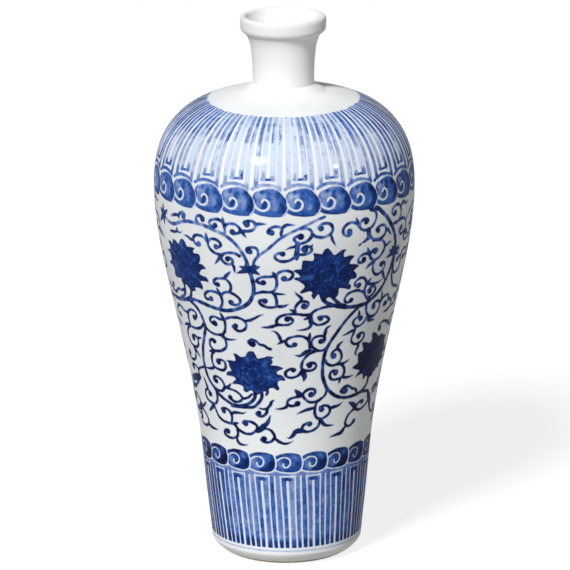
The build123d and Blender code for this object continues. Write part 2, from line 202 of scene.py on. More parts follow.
LEFT_TENDRILS = (
    ((-40.8, 264.6), (-42, 267), (-40.7, 269.8), (-38.7, 269.9), (-38.2, 268)),
    ((-27, 259), (-26.8, 262), (-27.2, 265.5), (-28, 268), (-30, 269.5), (-32.5, 269), (-34.4, 267.3),
        (-34.2, 264.5), (-32.7, 263.4), (-31.6, 264.8)),
    ((-27, 265), (-25.5, 267), (-23.5, 267.6), (-21.5, 267), (-20, 265), (-19.4, 262.8), (-20.6, 261),
        (-22.6, 260.6), (-23.2, 261.4)),
    ((-19.4, 262.8), (-18, 262.8), (-16, 263), (-14, 264), (-12.7, 266.5), (-12.9, 269), (-14, 270.5),
        (-16, 270.4), (-17.7, 269.2), (-16.5, 268)),
    ((-1, 259.2), (-1.5, 262), (-1.1, 265), (-2.6, 267), (-4.7, 266.8), (-6.6, 265), (-7.1, 262.6),
        (-5.6, 262.4)),
    ((-11.8, 244.5), (-11.8, 248), (-12.6, 250.4), (-14.6, 251), (-16.6, 249.8), (-16.7, 247.6),
        (-15.5, 247.6)),
    ((-20.5, 243.7), (-22.5, 245.3), (-25, 245.5), (-27.5, 244.5), (-29.2, 242.5), (-29.3, 239.5),
        (-28, 237.2), (-26, 236.4), (-24.2, 237.5), (-24, 240), (-25.2, 241.5), (-26.4, 240.6)),
    ((-29.2, 243.3), (-31.5, 243.4), (-33.5, 244.5), (-35.3, 247), (-36, 250.5), (-34.8, 253.6),
        (-32.6, 254.4), (-30.4, 253.4), (-29.3, 251), (-30.2, 249), (-31.8, 248.7)),
    ((-36.2, 251.5), (-38.5, 254.6), (-41, 255.2), (-43, 254.5), (-44.3, 252.3), (-43.8, 249),
        (-42.4, 247.5), (-41.3, 248.5)),
    ((-34, 200.6), (-32.3, 203.5), (-31.7, 207), (-32.2, 210.7), (-33.5, 212.3), (-36, 213.3),
        (-39, 212.8), (-41.5, 210.5), (-41.9, 207.7), (-40.4, 206.2), (-38.2, 207.2)),
    ((-31.9, 211), (-30.5, 213.4), (-28.5, 214.5), (-26.5, 214.3), (-24.3, 213), (-22.3, 210.6),
        (-21.9, 208), (-23.2, 205.7), (-25.6, 205.2), (-26.9, 206.7)),
    ((-27.3, 214.7), (-26.1, 217.5), (-26.2, 220.8), (-27.3, 223.3), (-29, 225), (-31, 224.6),
        (-33.3, 224), (-34.9, 222), (-34.8, 219.7), (-33, 219.5)),
    ((-14.7, 215), (-13, 216), (-10.5, 217), (-8, 217), (-6, 217.3), (-4.6, 219.3), (-3.8, 223),
        (-3.9, 227), (-4.6, 229.4), (-7, 229), (-9.5, 228.8), (-12, 227.5), (-12.9, 225.4),
        (-11.8, 223.8), (-10, 224.2)),
    ((-6, 217), (-5, 215), (-4.2, 212), (-4, 208.5), (-4.4, 205.8), (-6, 205.2), (-8.5, 205.1),
        (-11, 206.5), (-12.4, 208.8), (-11.6, 210.4), (-9.6, 210)),
    ((-32.6, 183), (-32, 187), (-32.2, 191.5), (-35, 192.1), (-38, 193.2), (-40.5, 192), (-41.3, 189.6),
        (-40, 187.8), (-38.4, 187.9)),
    ((-32, 192), (-29.5, 194.3), (-27, 195), (-24, 195.2), (-21.3, 193.8), (-19.9, 191), (-20.4, 187.7),
        (-22, 185.5), (-24.4, 184.7), (-26.4, 185.9), (-27.4, 187.8), (-25.8, 188.6)),
    ((-8, 172), (-9.5, 172.9), (-11.5, 174.8), (-13.6, 175.4), (-15.4, 177.8), (-17.8, 178.8),
        (-19.5, 177), (-18.8, 175.2), (-17.4, 175.3)),
    ((-26.5, 131.2), (-28.3, 128.6), (-31.5, 127.3), (-34, 128.1), (-35.4, 130)),
    ((-48, 136.5), (-45, 134.2), (-42, 133.7), (-40, 135.2), (-38.7, 138), (-39.6, 141.8), (-41.6, 143.9),
        (-44, 144.7), (-46.3, 143.3), (-46.2, 141.2), (-44.7, 140.9)),
    ((-8.5, 130), (-9.5, 127.2), (-11.2, 124.6), (-12, 121), (-14.4, 118.3), (-16.9, 118.3),
        (-18.2, 119.6), (-16.8, 120.6)),
    ((-50, 119.5), (-49, 116), (-47.5, 112.7), (-45, 110.6), (-42, 109.5), (-38, 109.1), (-35, 109),
        (-33, 107), (-31, 105), (-28.5, 103.6), (-25.5, 102.9), (-22.5, 103.7), (-20, 105.7),
        (-18.6, 107.5), (-18.4, 109.6), (-19.7, 111.5), (-22, 112.7), (-24.5, 113.1), (-26.9, 112.7),
        (-27.8, 111.3), (-26.2, 110.9)),
    ((-36.5, 110.5), (-35.9, 115), (-37, 118.5), (-39.5, 120.2), (-42, 120.2), (-43.7, 119.1),
        (-42.2, 118)),
    ((-18.2, 106.5), (-15.5, 107.7), (-13, 108.5), (-10, 107.6), (-8.1, 105), (-7.3, 102), (-8.7, 99.5),
        (-11, 97.9), (-14, 97.8), (-16.2, 99.4), (-14.3, 100.4)),
    ((-32.7, 105.5), (-32.6, 102), (-33.8, 99.4), (-36.5, 97.9), (-39.5, 97.7), (-42.3, 98.6),
        (-43.6, 100.5), (-42.7, 102.8), (-40.7, 102.4)),
    ((-46.3, 186.5), (-48.5, 182.5), (-51.5, 180.3), (-55, 179.4), (-59, 179.5), (-62, 178), (-64.4, 174),
        (-64.9, 169.5), (-63.4, 165.7), (-60.5, 163.7), (-57.5, 163.9), (-55.6, 165.6), (-54.6, 168.5),
        (-55.1, 171.8), (-57, 173), (-59.3, 172.2), (-58.9, 170.5)),
    ((-59, 180), (-59.6, 184), (-59.4, 188), (-57.8, 192), (-54.5, 193.8), (-51.6, 192.6), (-51.6, 189.4),
        (-53.6, 188)),
    ((-60, 190), (-63, 190.5), (-66, 192.5), (-69, 192.7), (-72, 190), (-73.5, 187), (-69.5, 185)),
    ((-61, 163.5), (-60.4, 160), (-60.4, 157), (-62, 153.7), (-65, 151.7), (-68, 151.7), (-70, 153.8),
        (-68.8, 156.3)),
    ((-34.3, 179.8), (-33.1, 175.5), (-33.1, 171.3), (-34.6, 168.6), (-37, 166.7), (-40, 165.7),
        (-42.7, 166.2), (-44.4, 168.2), (-44.6, 170.7), (-43.8, 173.3), (-42, 174.2), (-41, 173.3)),
    ((-41.5, 165.5), (-44, 162.7), (-45.2, 159), (-45.2, 155), (-44, 152.2), (-41, 151), (-38, 151),
        (-36.2, 152.6), (-35.5, 155.5), (-36.1, 158.2), (-38.5, 159.1), (-40.8, 158.2), (-40.4, 157)),
    ((-46, 131.5), (-46, 128), (-46.6, 125), (-48.5, 122.3), (-51, 121.6), (-54, 122.2), (-56.9, 124.2),
        (-57.8, 127.5), (-56.9, 130.3), (-55, 131.6), (-53.2, 130.6), (-52.6, 128.7)),
    ((-67, 114), (-64, 112), (-61, 109), (-59.7, 105.5), (-61, 102.3), (-65, 100.8), (-69, 100.9),
        (-71.7, 103.2), (-69.3, 106.5)),
    ((-61.7, 146), (-64.5, 147.5), (-67.5, 147.6), (-69.2, 145.8), (-67.6, 145)),
    ((-57.5, 208.5), (-61, 207), (-64, 207), (-66, 205), (-68.5, 203), (-72, 204), (-70, 208.5)),
    ((-59, 264.4), (-56, 266), (-53.5, 266.6), (-52, 268.6), (-50.2, 269.7), (-49, 268), (-50, 266.6)),
    ((-65.5, 113.5), (-67.2, 117), (-69.5, 120.6), (-73, 123.4), (-76.5, 122.4), (-75.8, 119.6)),
    ((-64, 135.5), (-67.5, 132), (-71.5, 130.4), (-75.5, 131.5), (-74.8, 134)),
)

# Links between tendrils, with no knob: (half width in mm, points).
UNIT_LINKS = (
    (0.9, ((-4.2, 191.5), (-4.3, 194.5), (-3, 197.5), (0, 199.4), (3.5, 199.9), (7, 199.4),
        (9.5, 198.6))),
    (1.5, ((5.6, 254.3), (5.5, 250), (5.2, 246.5))),
    (1.6, ((39.6, 258.6), (39.9, 255.5), (40.2, 252.6))),
)
LEFT_LINKS = (
    (0.8, ((-20.5, 135), (-23, 132.2), (-26.3, 131), (-28.2, 133.8), (-31, 136), (-35, 136.9),
        (-38, 137.3))),
    (0.9, ((-46, 184), (-44, 181.2), (-41, 179.4), (-38, 179.1), (-35.5, 179.6), (-34, 180.6),
        (-32.6, 183.2))),
    (0.8, ((-60, 119.5), (-63, 116.7), (-67, 114.6), (-72, 112.2), (-77, 110.5))),
    (0.8, ((-53, 149.7), (-56, 148.5), (-59, 147), (-61.5, 144.5), (-61.3, 141), (-62.7, 138),
        (-66, 136.2), (-70, 135.2), (-75, 132.7))),
)

# Leaves, from the broad end to the point: (breadth beside a plain leaf, points).
UNIT_LEAVES = (
    (1.0, ((12, 198), (12.5, 193.5), (13, 190.8), (12.3, 188.9), (10.5, 187.5), (8, 187), (5.8, 187.1))),
    (0.9, ((1.1, 128.5), (0.4, 126.4), (-1.5, 125.1), (-4, 124.5), (-6.5, 124.3))),
    (1.0, ((-4.5, 191), (-8, 189.5), (-12.2, 189))),
    (0.8, ((20.5, 259), (21.5, 254.5), (23.2, 250))),
    (1.5, ((5.2, 247), (5.25, 244), (5.3, 241.5))),
    (0.8, ((5.3, 252.2), (2.5, 251.3), (0.3, 249.7))),
    (0.6, ((11.6, 250.8), (12.3, 253.6))),
    (0.9, ((6.9, 209.5), (7.8, 211.5), (7, 213.3), (5.6, 215.2), (4.4, 217.8))),
    (0.8, ((5, 201.5), (2, 203.6))),
    (0.9, ((12, 196.8), (9, 195))),
    (1.0, ((20.8, 181), (20.9, 184.5), (21.7, 187.3), (24, 188.9))),
    (0.9, ((33.8, 264.5), (32.6, 269.7))),
    (1.0, ((39.8, 252.8), (37.8, 250.6), (35.8, 249.7))),
    (0.7, ((35.6, 248.8), (34.4, 248))),
    (0.9, ((50.6, 255.4), (52.2, 255.1), (53.7, 252.5), (55.3, 250.3))),
    (0.9, ((50.6, 243.6), (52.4, 243.2), (54, 244.8), (56.2, 244.4))),
    (1.0, ((41.2, 239.6), (39.7, 245.5))),
    (1.1, ((45, 232.8), (42.3, 231.7), (40, 228.8))),
    (1.0, ((51.8, 223.8), (53.5, 219.5), (55.8, 214.8))),
    (1.0, ((42, 217), (44.8, 220.8))),
    (0.9, ((42, 216.6), (47, 215.5), (50, 215.7), (53.3, 216.9))),
    (1.0, ((62.3, 269), (64.5, 271.4), (66.5, 270), (68, 269.3), (70.2, 270.2))),
    (1.0, ((68.3, 248.5), (71, 246.3), (74.5, 243.8))),
    (0.8, ((68, 247), (69.2, 242.7))),
    (1.2, ((46.8, 190), (48, 187), (52.5, 185.8))),
    (1.0, ((55.6, 199.5), (55.6, 203), (54.5, 207.8))),
    (1.0, ((62.6, 199), (66, 196.8), (69.3, 193.3))),
    (0.9, ((39.8, 192), (40, 194), (39, 197.6))),
    (0.9, ((38.6, 182), (36, 181.3), (33.5, 180), (30.8, 179))),
    (0.9, ((42, 170.3), (42.9, 168), (42, 165.3), (41.6, 162.5), (43.3, 160.3))),
    (0.9, ((30, 156.6), (34, 156.9), (36.3, 157.9), (38, 159.3))),
    (1.0, ((28.7, 169), (29.5, 172.4), (32.2, 174.7))),
    (0.9, ((34, 145.8), (38, 144.8), (42.8, 145.3))),
    (0.9, ((33.2, 145.5), (32.4, 141))),
    (1.0, ((12.3, 179), (12.7, 184.8))),
    (1.2, ((13.2, 170.5), (10.5, 169), (8, 166.6), (5.1, 167.1))),
    (1.5, ((9.3, 153.5), (10.8, 149.8), (10.2, 146.2))),
    (0.9, ((-0.8, 178.7), (-4.2, 176))),
    (1.5, ((8.8, 135), (7, 137.3), (5.4, 139.8))),
    (1.0, ((17.8, 124.3), (13, 123.3), (10, 122), (6.7, 120.3))),
    (1.0, ((28, 122.8), (31, 123), (34, 123.6), (36.8, 125.4))),
    (1.0, ((22.2, 114.5), (24.3, 110.7), (27, 109), (32, 108.6))),
    (1.5, ((11.5, 106.4), (8, 107), (6, 106), (4.3, 103.3), (2.3, 101.5), (0.8, 101.9))),
    (1.2, ((40.7, 104.5), (38, 101.2), (35, 100.6), (29.5, 99.4))),
    (1.5, ((48.5, 119), (45.5, 121.8), (42, 124.2))),
    (1.8, ((61, 125.5), (64, 120.5), (67, 114.5))),
    (1.5, ((66.5, 127.2), (70, 129.3), (75, 129))),
)
LEFT_LEAVES = (
    (2.4, ((-61.5, 139.5), (-66, 137.4), (-71, 136.2), (-77, 134.5))),
    (2.0, ((-66, 116), (-70, 113.2), (-76, 110.8))),
    (1.0, ((-27.3, 266), (-27.8, 272))),
    (0.9, ((-19, 262.5), (-16.8, 257.8))),
    (0.9, ((-12.6, 268.5), (-10.5, 268.8), (-7.8, 268.7))),
    (0.9, ((-24, 236.8), (-23.4, 234), (-23.3, 230))),
    (0.9, ((-30, 242), (-31.3, 238.8), (-33.2, 235.3))),
    (1.0, ((-36.3, 252.5), (-36.8, 258.3))),
    (0.9, ((-44.3, 250.3), (-46.5, 251), (-48.2, 252.3), (-50.8, 252.4))),
    (1.0, ((-32.3, 212), (-34.2, 216.8))),
    (1.0, ((-29, 225.5), (-27.6, 227.8), (-25.3, 231.2))),
    (0.9, ((-4.3, 230), (-5.8, 233))),
    (0.8, ((-5.5, 216), (-2.5, 215.7), (0.3, 215.4))),
    (1.0, ((-4, 206), (-1, 206), (1.7, 207.6))),
    (1.0, ((-32.3, 192.5), (-34.2, 197.8))),
    (0.9, ((-20.2, 193.6), (-18, 194), (-15.5, 195.8), (-13, 198), (-10.8, 199.4))),
    (0.9, ((-2.2, 178.5), (-3.4, 183), (-5, 185.7), (-7.2, 186.6))),
    (0.9, ((-1, 266.2), (1, 268.3), (4.6, 268.1))),
    (0.9, ((-7.5, 101.5), (-5, 99), (-2, 97.3), (1, 97.3), (4.7, 98.9))),
    (0.9, ((-38.5, 137.3), (-36, 138.3), (-33.3, 141.8))),
    (0.8, ((-9.3, 128.5), (-8.3, 130.3), (-6.9, 131.7))),
    (0.7, ((-11.5, 124.6), (-14, 124), (-17.3, 124.7))),
    (0.9, ((-36.2, 116.5), (-34, 118.4), (-30.5, 118.9), (-27.3, 119), (-25, 120.5))),
    (0.9, ((-35, 109.5), (-31.3, 110.7))),
    (1.5, ((-18.3, 105.8), (-16.2, 107.6), (-14.3, 110.4), (-11.6, 113.2), (-9.6, 119))),
    (0.9, ((-33.8, 98.8), (-33.3, 96), (-31.5, 94.2), (-29, 93.8), (-25.8, 94.4))),
    (1.0, ((-59.5, 180.3), (-63, 180), (-67.2, 177.8))),
    (0.9, ((-54.8, 171.3), (-53, 172.3), (-50.8, 173))),
    (1.0, ((-60.7, 162), (-58, 159.6), (-55.8, 156))),
    (0.9, ((-44, 152), (-47, 150.2), (-50, 149.6), (-53, 149.7))),
    (0.9, ((-42.5, 165.5), (-46.5, 163.8))),
    (0.9, ((-36, 179.2), (-33.5, 177.6), (-31, 176.8), (-26.5, 177.6))),
    (1.0, ((-54, 132), (-55.4, 136.8), (-56.7, 141.3))),
    (1.1, ((-50.5, 120.8), (-53, 117.8), (-57.2, 113.8))),
    (1.0, ((-60, 103), (-56, 101.4), (-50, 101.3))),
    (0.8, ((-53.3, 266.5), (-53.2, 263.8))),
    (0.8, ((-61.5, 252), (-58, 252.5), (-55.5, 253.5), (-53, 253.4), (-51.8, 255))),
    (0.8, ((-55.5, 253.5), (-55.3, 257.2))),
)

# Leaf stars where a stem divides: (centre, points of the leaves).
UNIT_STARS = (
    ((60, 235.5), ((53.3, 233.2), (55, 238.2), (57.2, 240.8), (63.8, 239.2), (65.5, 236.5),
        (64.5, 232.4))),
)
LEFT_STARS = (
    ((-15.8, 234), ((-22.3, 230.3), (-20.8, 235.6), (-18, 238.3), (-13, 237.6), (-11.3, 236.6),
        (-11.4, 230.4), (-16, 229))),
    ((-67.5, 262), ((-62.8, 266.8), (-67.3, 270.5), (-72.8, 255.2), (-67, 254.8), (-71, 266))),
)

# Flowers: (load of cobalt, centre, ragged outline of the petals).
UNIT_FLOWERS = (
    (1.0, (19.3, 229), ((16.6, 245.2), (17.8, 248.5), (19.4, 249.2), (20.9, 246.5), (22.6, 243.6),
        (26.2, 246.9), (28.2, 246.5), (27.3, 244.8), (27.4, 241.3), (30.5, 241.8), (32.6, 240.7),
        (31.2, 238.2), (30.7, 235.3), (33.7, 234.3), (35.6, 232.5), (33.2, 229.6), (34.4, 227.5),
        (35.1, 224.7), (34.1, 223), (31.8, 223), (31.2, 219.8), (32.5, 218.1), (31.8, 215.3),
        (29.4, 216.5), (26.2, 217.3), (26, 213.2), (25, 210.7), (23, 211.2), (20.9, 211.2), (19.4, 210.3),
        (17.3, 213.2), (16, 214.9), (14.8, 212.8), (13.7, 210.7), (12.5, 213.6), (12.8, 215.7),
        (11.6, 217.3), (7.6, 215.8), (7.2, 217.3), (8.7, 219.8), (8.9, 222.2), (6.2, 225.5), (4.1, 227.1),
        (5.1, 228.4), (6.8, 228.6), (6.2, 230.8), (3.9, 233.7), (6.2, 234.7), (7.4, 234.8), (7.6, 238.2),
        (8, 241.1), (9.8, 241.1), (12.5, 240.7), (13, 243.6), (12.6, 246.5), (14.4, 246))),
    (1.13, (57.5, 155.5), ((52.3, 167.6), (54, 169.8), (53.3, 174.9), (56.7, 174.3), (59.3, 171.4),
        (61.7, 170.4), (63.7, 171.4), (65.7, 170.2), (68, 168.6), (72, 166.9), (71, 163.7), (72.7, 160.4),
        (74, 158.8), (71.3, 154.7), (72.7, 151.4), (73.3, 148.2), (70, 146.5), (69.3, 143.3), (66, 144.1),
        (65.3, 141.6), (63.3, 142.4), (61.3, 139.2), (57.3, 139.2), (54.7, 141.2), (52.3, 139.2),
        (51.3, 141.6), (50.7, 144.1), (47.3, 143.9), (44.7, 142.9), (46, 145.7), (47.3, 147.8),
        (44, 149.4), (41, 151.4), (43, 153.1), (44.8, 154.3), (44.3, 158), (43.8, 160.8), (44.3, 162.4),
        (47.5, 163.3), (46.7, 166.9), (45.7, 169.8), (48.7, 169.4))),
)
LEFT_FLOWERS = (
    (0.95, (-53.5, 229), ((-55.4, 243.7), (-54.4, 246.5), (-52.6, 248.9), (-50.8, 248.1), (-49.4, 244.4),
        (-47.6, 244.4), (-44.4, 244.4), (-45.4, 242.3), (-45.2, 240.4), (-43.6, 240.6), (-41.7, 239.9),
        (-41.5, 236.6), (-42.6, 232.9), (-40.8, 233), (-38.8, 230.2), (-41.1, 229.2), (-43.3, 225.5),
        (-41.9, 224.2), (-39.2, 223.4), (-38.3, 220.1), (-40.4, 220.1), (-43.3, 219.3), (-42.4, 215.6),
        (-43.1, 212.6), (-44.4, 213.5), (-47.9, 213.1), (-47.8, 210.7), (-49.4, 210.2), (-51.1, 209),
        (-52.9, 211.1), (-54.7, 213.1), (-56.9, 213), (-58.6, 214.4), (-58.3, 216.4), (-59.7, 216.8),
        (-62.2, 216), (-64.4, 217.1), (-64.4, 219.3), (-63.8, 221.4), (-65.1, 224.2), (-68.1, 225.5),
        (-66.9, 227.1), (-65.1, 228.8), (-65.6, 233.7), (-68.3, 235.3), (-65.8, 236.3), (-64.4, 237.8),
        (-64.2, 240.3), (-65.4, 242.8), (-62.9, 243.6), (-61.1, 242.3), (-60.6, 244.4), (-59.9, 246),
        (-58.3, 246))),
    (0.95, (-18.5, 151), ((-22.2, 164.6), (-21.2, 167.4), (-19.9, 169.2), (-17.4, 169.4), (-16.5, 167.4),
        (-15.2, 164), (-14.2, 164.3), (-11.4, 165.3), (-9.6, 166.4), (-6.4, 165.5), (-7.6, 164.3),
        (-7, 161.5), (-8.1, 159.4), (-6.4, 159), (-3.9, 158.7), (-1.4, 156.8), (-3.1, 155.5),
        (-4.9, 154.1), (-4.4, 152), (-2.8, 151.7), (-1.2, 150), (-0.3, 147.2), (-2.8, 147.2),
        (-4.2, 146.5), (-4.6, 144), (-3.7, 140.9), (-4.6, 139.3), (-7.4, 141.2), (-9.8, 140.2),
        (-9.8, 137.4), (-11.4, 134.6), (-12.1, 135.3), (-11.7, 137.7), (-13.5, 138), (-16.7, 135.3),
        (-18.9, 136.7), (-20.3, 138), (-21.7, 137.7), (-23.7, 136.2), (-25.6, 137.7), (-25.1, 139.8),
        (-26.4, 141.2), (-28.9, 141.9), (-32.8, 141.5), (-31.4, 143.6), (-29.8, 145.7), (-31.7, 147.5),
        (-35.6, 147.7), (-35.5, 149.6), (-33.9, 151.2), (-32.1, 151.7), (-33.1, 155.5), (-33.3, 158.3),
        (-34.6, 159.6), (-32.1, 160.1), (-28.9, 160.3), (-28.5, 162.5), (-29.2, 166), (-27.4, 166),
        (-25.3, 164.3))),
)

# Shoulder lappets: a cloud head in each cell, with stripes that run up to the neck. Angles are from the
# middle of the cell's head.
SHOULDER_CELLS = 25
SHOULDER_FIRST = 8.7
SHOULDER_HEAD = ((-7.8, 277.2), (-5, 275.1), (0, 274), (4, 274.3), (5.8, 275.4), (6.8, 278), (7.2, 281),
                 (7.1, 284), (6.4, 287), (5.2, 289.6), (4.2, 291.6), (2.7, 293.6), (0, 294.6),
                 (-2.3, 294.3), (-4.3, 293.4), (-6.6, 292), (-8, 289), (-8.2, 283))
SHOULDER_RIM = ((5.0, 274.9), (6.6, 278), (7.1, 281), (7.0, 284), (6.4, 287), (5.2, 289.6), (4.2, 291.6),
                (2.7, 293.7), (0, 294.8), (-2.3, 294.4), (-4.3, 293.5), (-5.9, 292.4))
SHOULDER_SPIRAL = ((-7.3, 283.4), (-6.6, 281), (-5.2, 279.2), (-3.7, 278.5), (-2, 279.2), (-1.1, 281),
                   (-0.9, 283.5), (-1.6, 285.5), (-2.6, 286.5), (-3.7, 286), (-4.1, 284.6))
SHOULDER_KNOB = ((-2.4, 285.2), (-2.7, 283.2), (-3.4, 281.2))
SHOULDER_POOLS = (
    (2.2, 0.26, ((-6, 288.5), (-4.5, 289.5), (-2.5, 288.6))),
    (1.4, 0.38, ((-5.6, 284.5), (-5, 282))),
    (0.9, 0.90, ((-1.0, 290.6), (-1.5, 288.8), (-1.2, 286.8))),
    (0.9, 0.95, ((-4.3, 292), (-4.1, 291.4))),
    (2.6, 0.80, ((3.5, 290.5), (5.2, 288), (5.6, 284), (5.4, 280), (4.2, 277))),
    (1.0, 0.42, ((1.2, 284.5), (2.4, 282), (2.0, 279.6))),
    (1.6, 0.70, ((-6.4, 276.8), (-3, 275.8), (0, 275.3), (4, 276.2))),
)
SHOULDER_ARCH = ((-8.4, 293.8), (-6.5, 295.6), (-3.5, 296.8), (-0.5, 296.5), (2.5, 295.2), (3.8, 293.8))
# Stripes: (angle at the foot, at the head; half width in degrees; height of the foot; load).
SHOULDER_STRIPES = (
    (-10.9, -10.4, 0.85, 292.5, 0.14),
    (-6.8, -6.6, 0.85, 294.3, 0.14),
    (-3.6, -3.1, 0.9, 299.4, 0.08),
    (0.6, 0.4, 1.0, 299.6, 0.10),
)
SHOULDER_BRACKET = ((-4.3, 300.7), (-2, 300.5), (1.2, 300.9))
SHOULDER_BRACKET_END = ((0.6, 301.2), (0.65, 303.6))
# Height in mm at which the stripes end in front, how much higher they end at the sides, and how many times
# wider they are there than at the foot, in degrees.
STRIPE_TOP = 338
SIDE_RISE = 1.3
STRIPE_SPREAD = 1.4
# Pairs named in the plural are the least and the most of a random draw. A mark is a half width and a blur
# in mm. The loads of a stripe's edges, pool, toe and streaks are added to its own wash.
STRIPE_WIDTHS = (0.9, 1.1)
TOP_STRAYS = (-0.2, 0.2)
WASH_STRAYS = (-0.1, 0.1)
# The stripes' wash is paler in front and darker towards the sides and back, up to the most: a painted
# highlight on the front and painted shade on the sides.
PAINTED_LIGHT_MOST = 0.36
PAINTED_LIGHT_MIDDLE = 0.44
PAINTED_LIGHT_SWING = 0.57
PAINTED_LIGHT_TURN = 6
STRIPE_EDGE = 0.8
STRIPE_EDGE_MARK = (0.12, 0.6)
STRIPE_EDGE_LOADS = (0.08, 0.3)
STRIPE_POOL_FOOT = 325
STRIPE_POOL_MARK = (0.5, 2.4)
STRIPE_POOL_LOADS = (0.1, 0.58)
TOE_RUNS = (2, 7)
TOE_MARK = (0.8, 2.4)
TOE_LOAD = 0.56
STREAKS = 9
STREAK_FOOT = 298
STREAK_STRAYS = (-0.9, 0.9)
STREAK_LEANS = (-0.2, 0.2)
STREAK_RUNS = (2, 11)
STREAK_MARK = (0.15, 0.9)
STREAK_LOADS = (-0.1, 0.36)
DARK_STRIPE = 320
DARK_LOADS = (0.15, 0.62)
BARE_STRIPE_FOOT = 296
BARE_SHARE = 0.55
BARE_RISES = (5, 9)
BARE_RUNS = (4, 14)
BARE_HALVES = (0.5, 1.2)
BARE_BLUR = 2.5
BARE_LOAD = -0.2
BRACKET_HALF = 0.8
BRACKET_LOADS = (0.45, 0.7)
BRACKET_END_HALF = 1.5
BRACKET_END_LOADS = (0.65, 0.9)
ARCH_HALF = 1.1
ARCH_LOAD = 0.28
ARCH_STRAYS = (-0.08, 0.08)
SHOULDER_HEAD_LOAD = 0.5
SHOULDER_POOL_BLUR = 1.4
SHOULDER_POOL_STRAYS = (-0.1, 0.1)
SHOULDER_KNOB_MARK = (1.4, 1.0)
HEAD_STRAYS = (-0.08, 0.06)
KNOB_LOAD = 0.85
SPIRAL_WHITE = 1.3
RIM_WHITE = 0.66
# The painting ends below PAINT_TOP, and from BLEND_TOP the glaze is as white as the neck's.
PAINT_TOP = 340
BLEND_TOP = 345.5

# Foot lappets hang the other way up: the head above, the stripes running down to the foot.
FOOT_CELLS = 20
FOOT_FIRST = 2.1
FOOT_HEAD = ((-9.4, 87), (-5, 88.9), (-1, 89.6), (3, 89.3), (6, 88.3), (8.4, 86.6), (9.0, 83),
             (8.9, 79.5), (8.2, 77), (7.2, 75.2), (5, 74.2), (0, 74), (-5, 74.6), (-8.6, 75.8),
             (-9.8, 79.5), (-9.9, 83))
FOOT_RIM = ((-8.6, 75.6), (-6, 74.6), (-1, 73.9), (3, 73.8), (6, 74.7), (7.5, 75.9), (8.4, 77.5),
            (8.9, 79.6), (9.0, 82), (8.7, 84.6), (7.8, 87.5))
FOOT_SPIRAL = ((-8.4, 83.5), (-6.8, 84.8), (-4.7, 85.9), (-2.2, 86), (-0.2, 84.9), (0.6, 83), (0.5, 81),
               (-0.5, 79.2), (-1.9, 78.2), (-3.3, 78.6), (-4.2, 80), (-3.9, 81.2))
FOOT_KNOB = ((-2.6, 83.4), (-1.5, 82.4), (-1.5, 80.9))
FOOT_POOLS = (
    (2.6, 0.95, ((5.8, 82.5), (5.6, 79.5), (4.2, 77))),
    (1.8, 0.90, ((-3, 76), (0, 75.8), (3, 76))),
    (1.6, 0.80, ((-5, 87.4), (-1, 88), (2.5, 87.4))),
    (1.5, 0.42, ((-7, 82), (-6, 79.5), (-4, 77.8))),
    (1.2, 0.45, ((3.4, 86.5), (4.6, 84.6))),
)
FOOT_GATE = ((-6.1, 71.1), (0, 71.2), (3.9, 71.2))
# White stripes from the gate down to the foot: (angles at these heights; half width in mm).
FOOT_STRIPE_HEIGHTS = (71, 60, 46, 30, 14)
FOOT_STRIPES = (
    ((-6.2, -5.6, -4.8, -4.1, -3.5), 0.65),
    ((3.9, 4.05, 4.4, 5.1, 6.1), 0.65),
    ((7.8, 8.1, 8.7, 9.2, 10.2), 0.75),
)
FOOT_CORE_HEIGHTS = (66.8, 60, 46, 30, 14)
FOOT_CORE = (-1.3, -1.05, -0.3, 0.3, 0.9)
FOOT_CORE_HALF = 0.95
FOOT_CAP = ((-3.3, 68.6), (-1.3, 68.9), (0.8, 68.6))
LAPPET_FOOT = 14.8
LAPPET_TOP = 75
LAPPET_LOAD = 0.45
# Washes between the white stripes: (left and right edge at the top, lean to the right on the way down).
FOOT_WASHES = ((-9.6, -6.2, 1.5), (-5.6, -2, 2), (-0.5, 3.3, 2), (4.4, 7.3, 2))
FOOT_WASH_TOP = 70
FOOT_WASH_RUN = 55
FOOT_WASH_MARK = (2.2, 0.8)
FOOT_WASH_LOAD = 0.44
FOOT_WASH_STRAYS = (-0.1, 0.12)
FOOT_EDGE_MARK = (0.35, 0.6)
FOOT_EDGE_LOAD = 0.2
FOOT_STREAKS = 2
FOOT_STREAK_TOP = 66
FOOT_STREAK_RUNS = (3, 9)
FOOT_STREAK_MARK = (1.2, 1.5)
FOOT_STREAK_LOADS = (-0.12, 0.3)
LAPPET_POOL_TOP = 19
LAPPET_POOL_MARK = (2.0, 2.0)
LAPPET_POOL_LOAD = 0.9
FOOT_HEAD_LOAD = 0.68
FOOT_CAP_MARK = (0.9, 0.8)
FOOT_CAP_LOAD = 0.9
FOOT_POOL_BLUR = 1.5
FOOT_POOL_STRAYS = (-0.08, 0.08)
FOOT_KNOB_MARK = (1.3, 1.0)
FOOT_LINE = 12.2
FOOT_LINE_STEP = 0.4
FOOT_LINE_HALF = 0.3
FOOT_LINE_LOAD = 0.22

# Painted shade: lappets that are turned away from the front get more cobalt, and those on the right more
# again, away from the key lamp.
RIGHT_SHADE_LOAD = 0.18
SIDE_SHADE_LOAD = 0.42
SIDE_SHADE_MOST = 0.28
SIDE_SHADE_TURN = 8

SEED = 20


def srgb(code):
    """A colour written as 0xRRGGBB, as the linear values that Blender keeps."""
    channels = [(code >> shift & 255) / 255 for shift in (16, 8, 0)]
    return [c / 12.92 if c <= 0.04045 else ((c + 0.055) / 1.055) ** 2.4 for c in channels]


# The wall line, read from the frame.

RAY_LENGTH = 0.5
SIDE_STEP = 1e-5
FOOT_START = 0.5
FOOT_STEP = 0.8
CROWN_PIVOT = 270
LEVEL_STEP = 3
TILT_STEP = 1
TILT_END = 75
NECK_START = 352
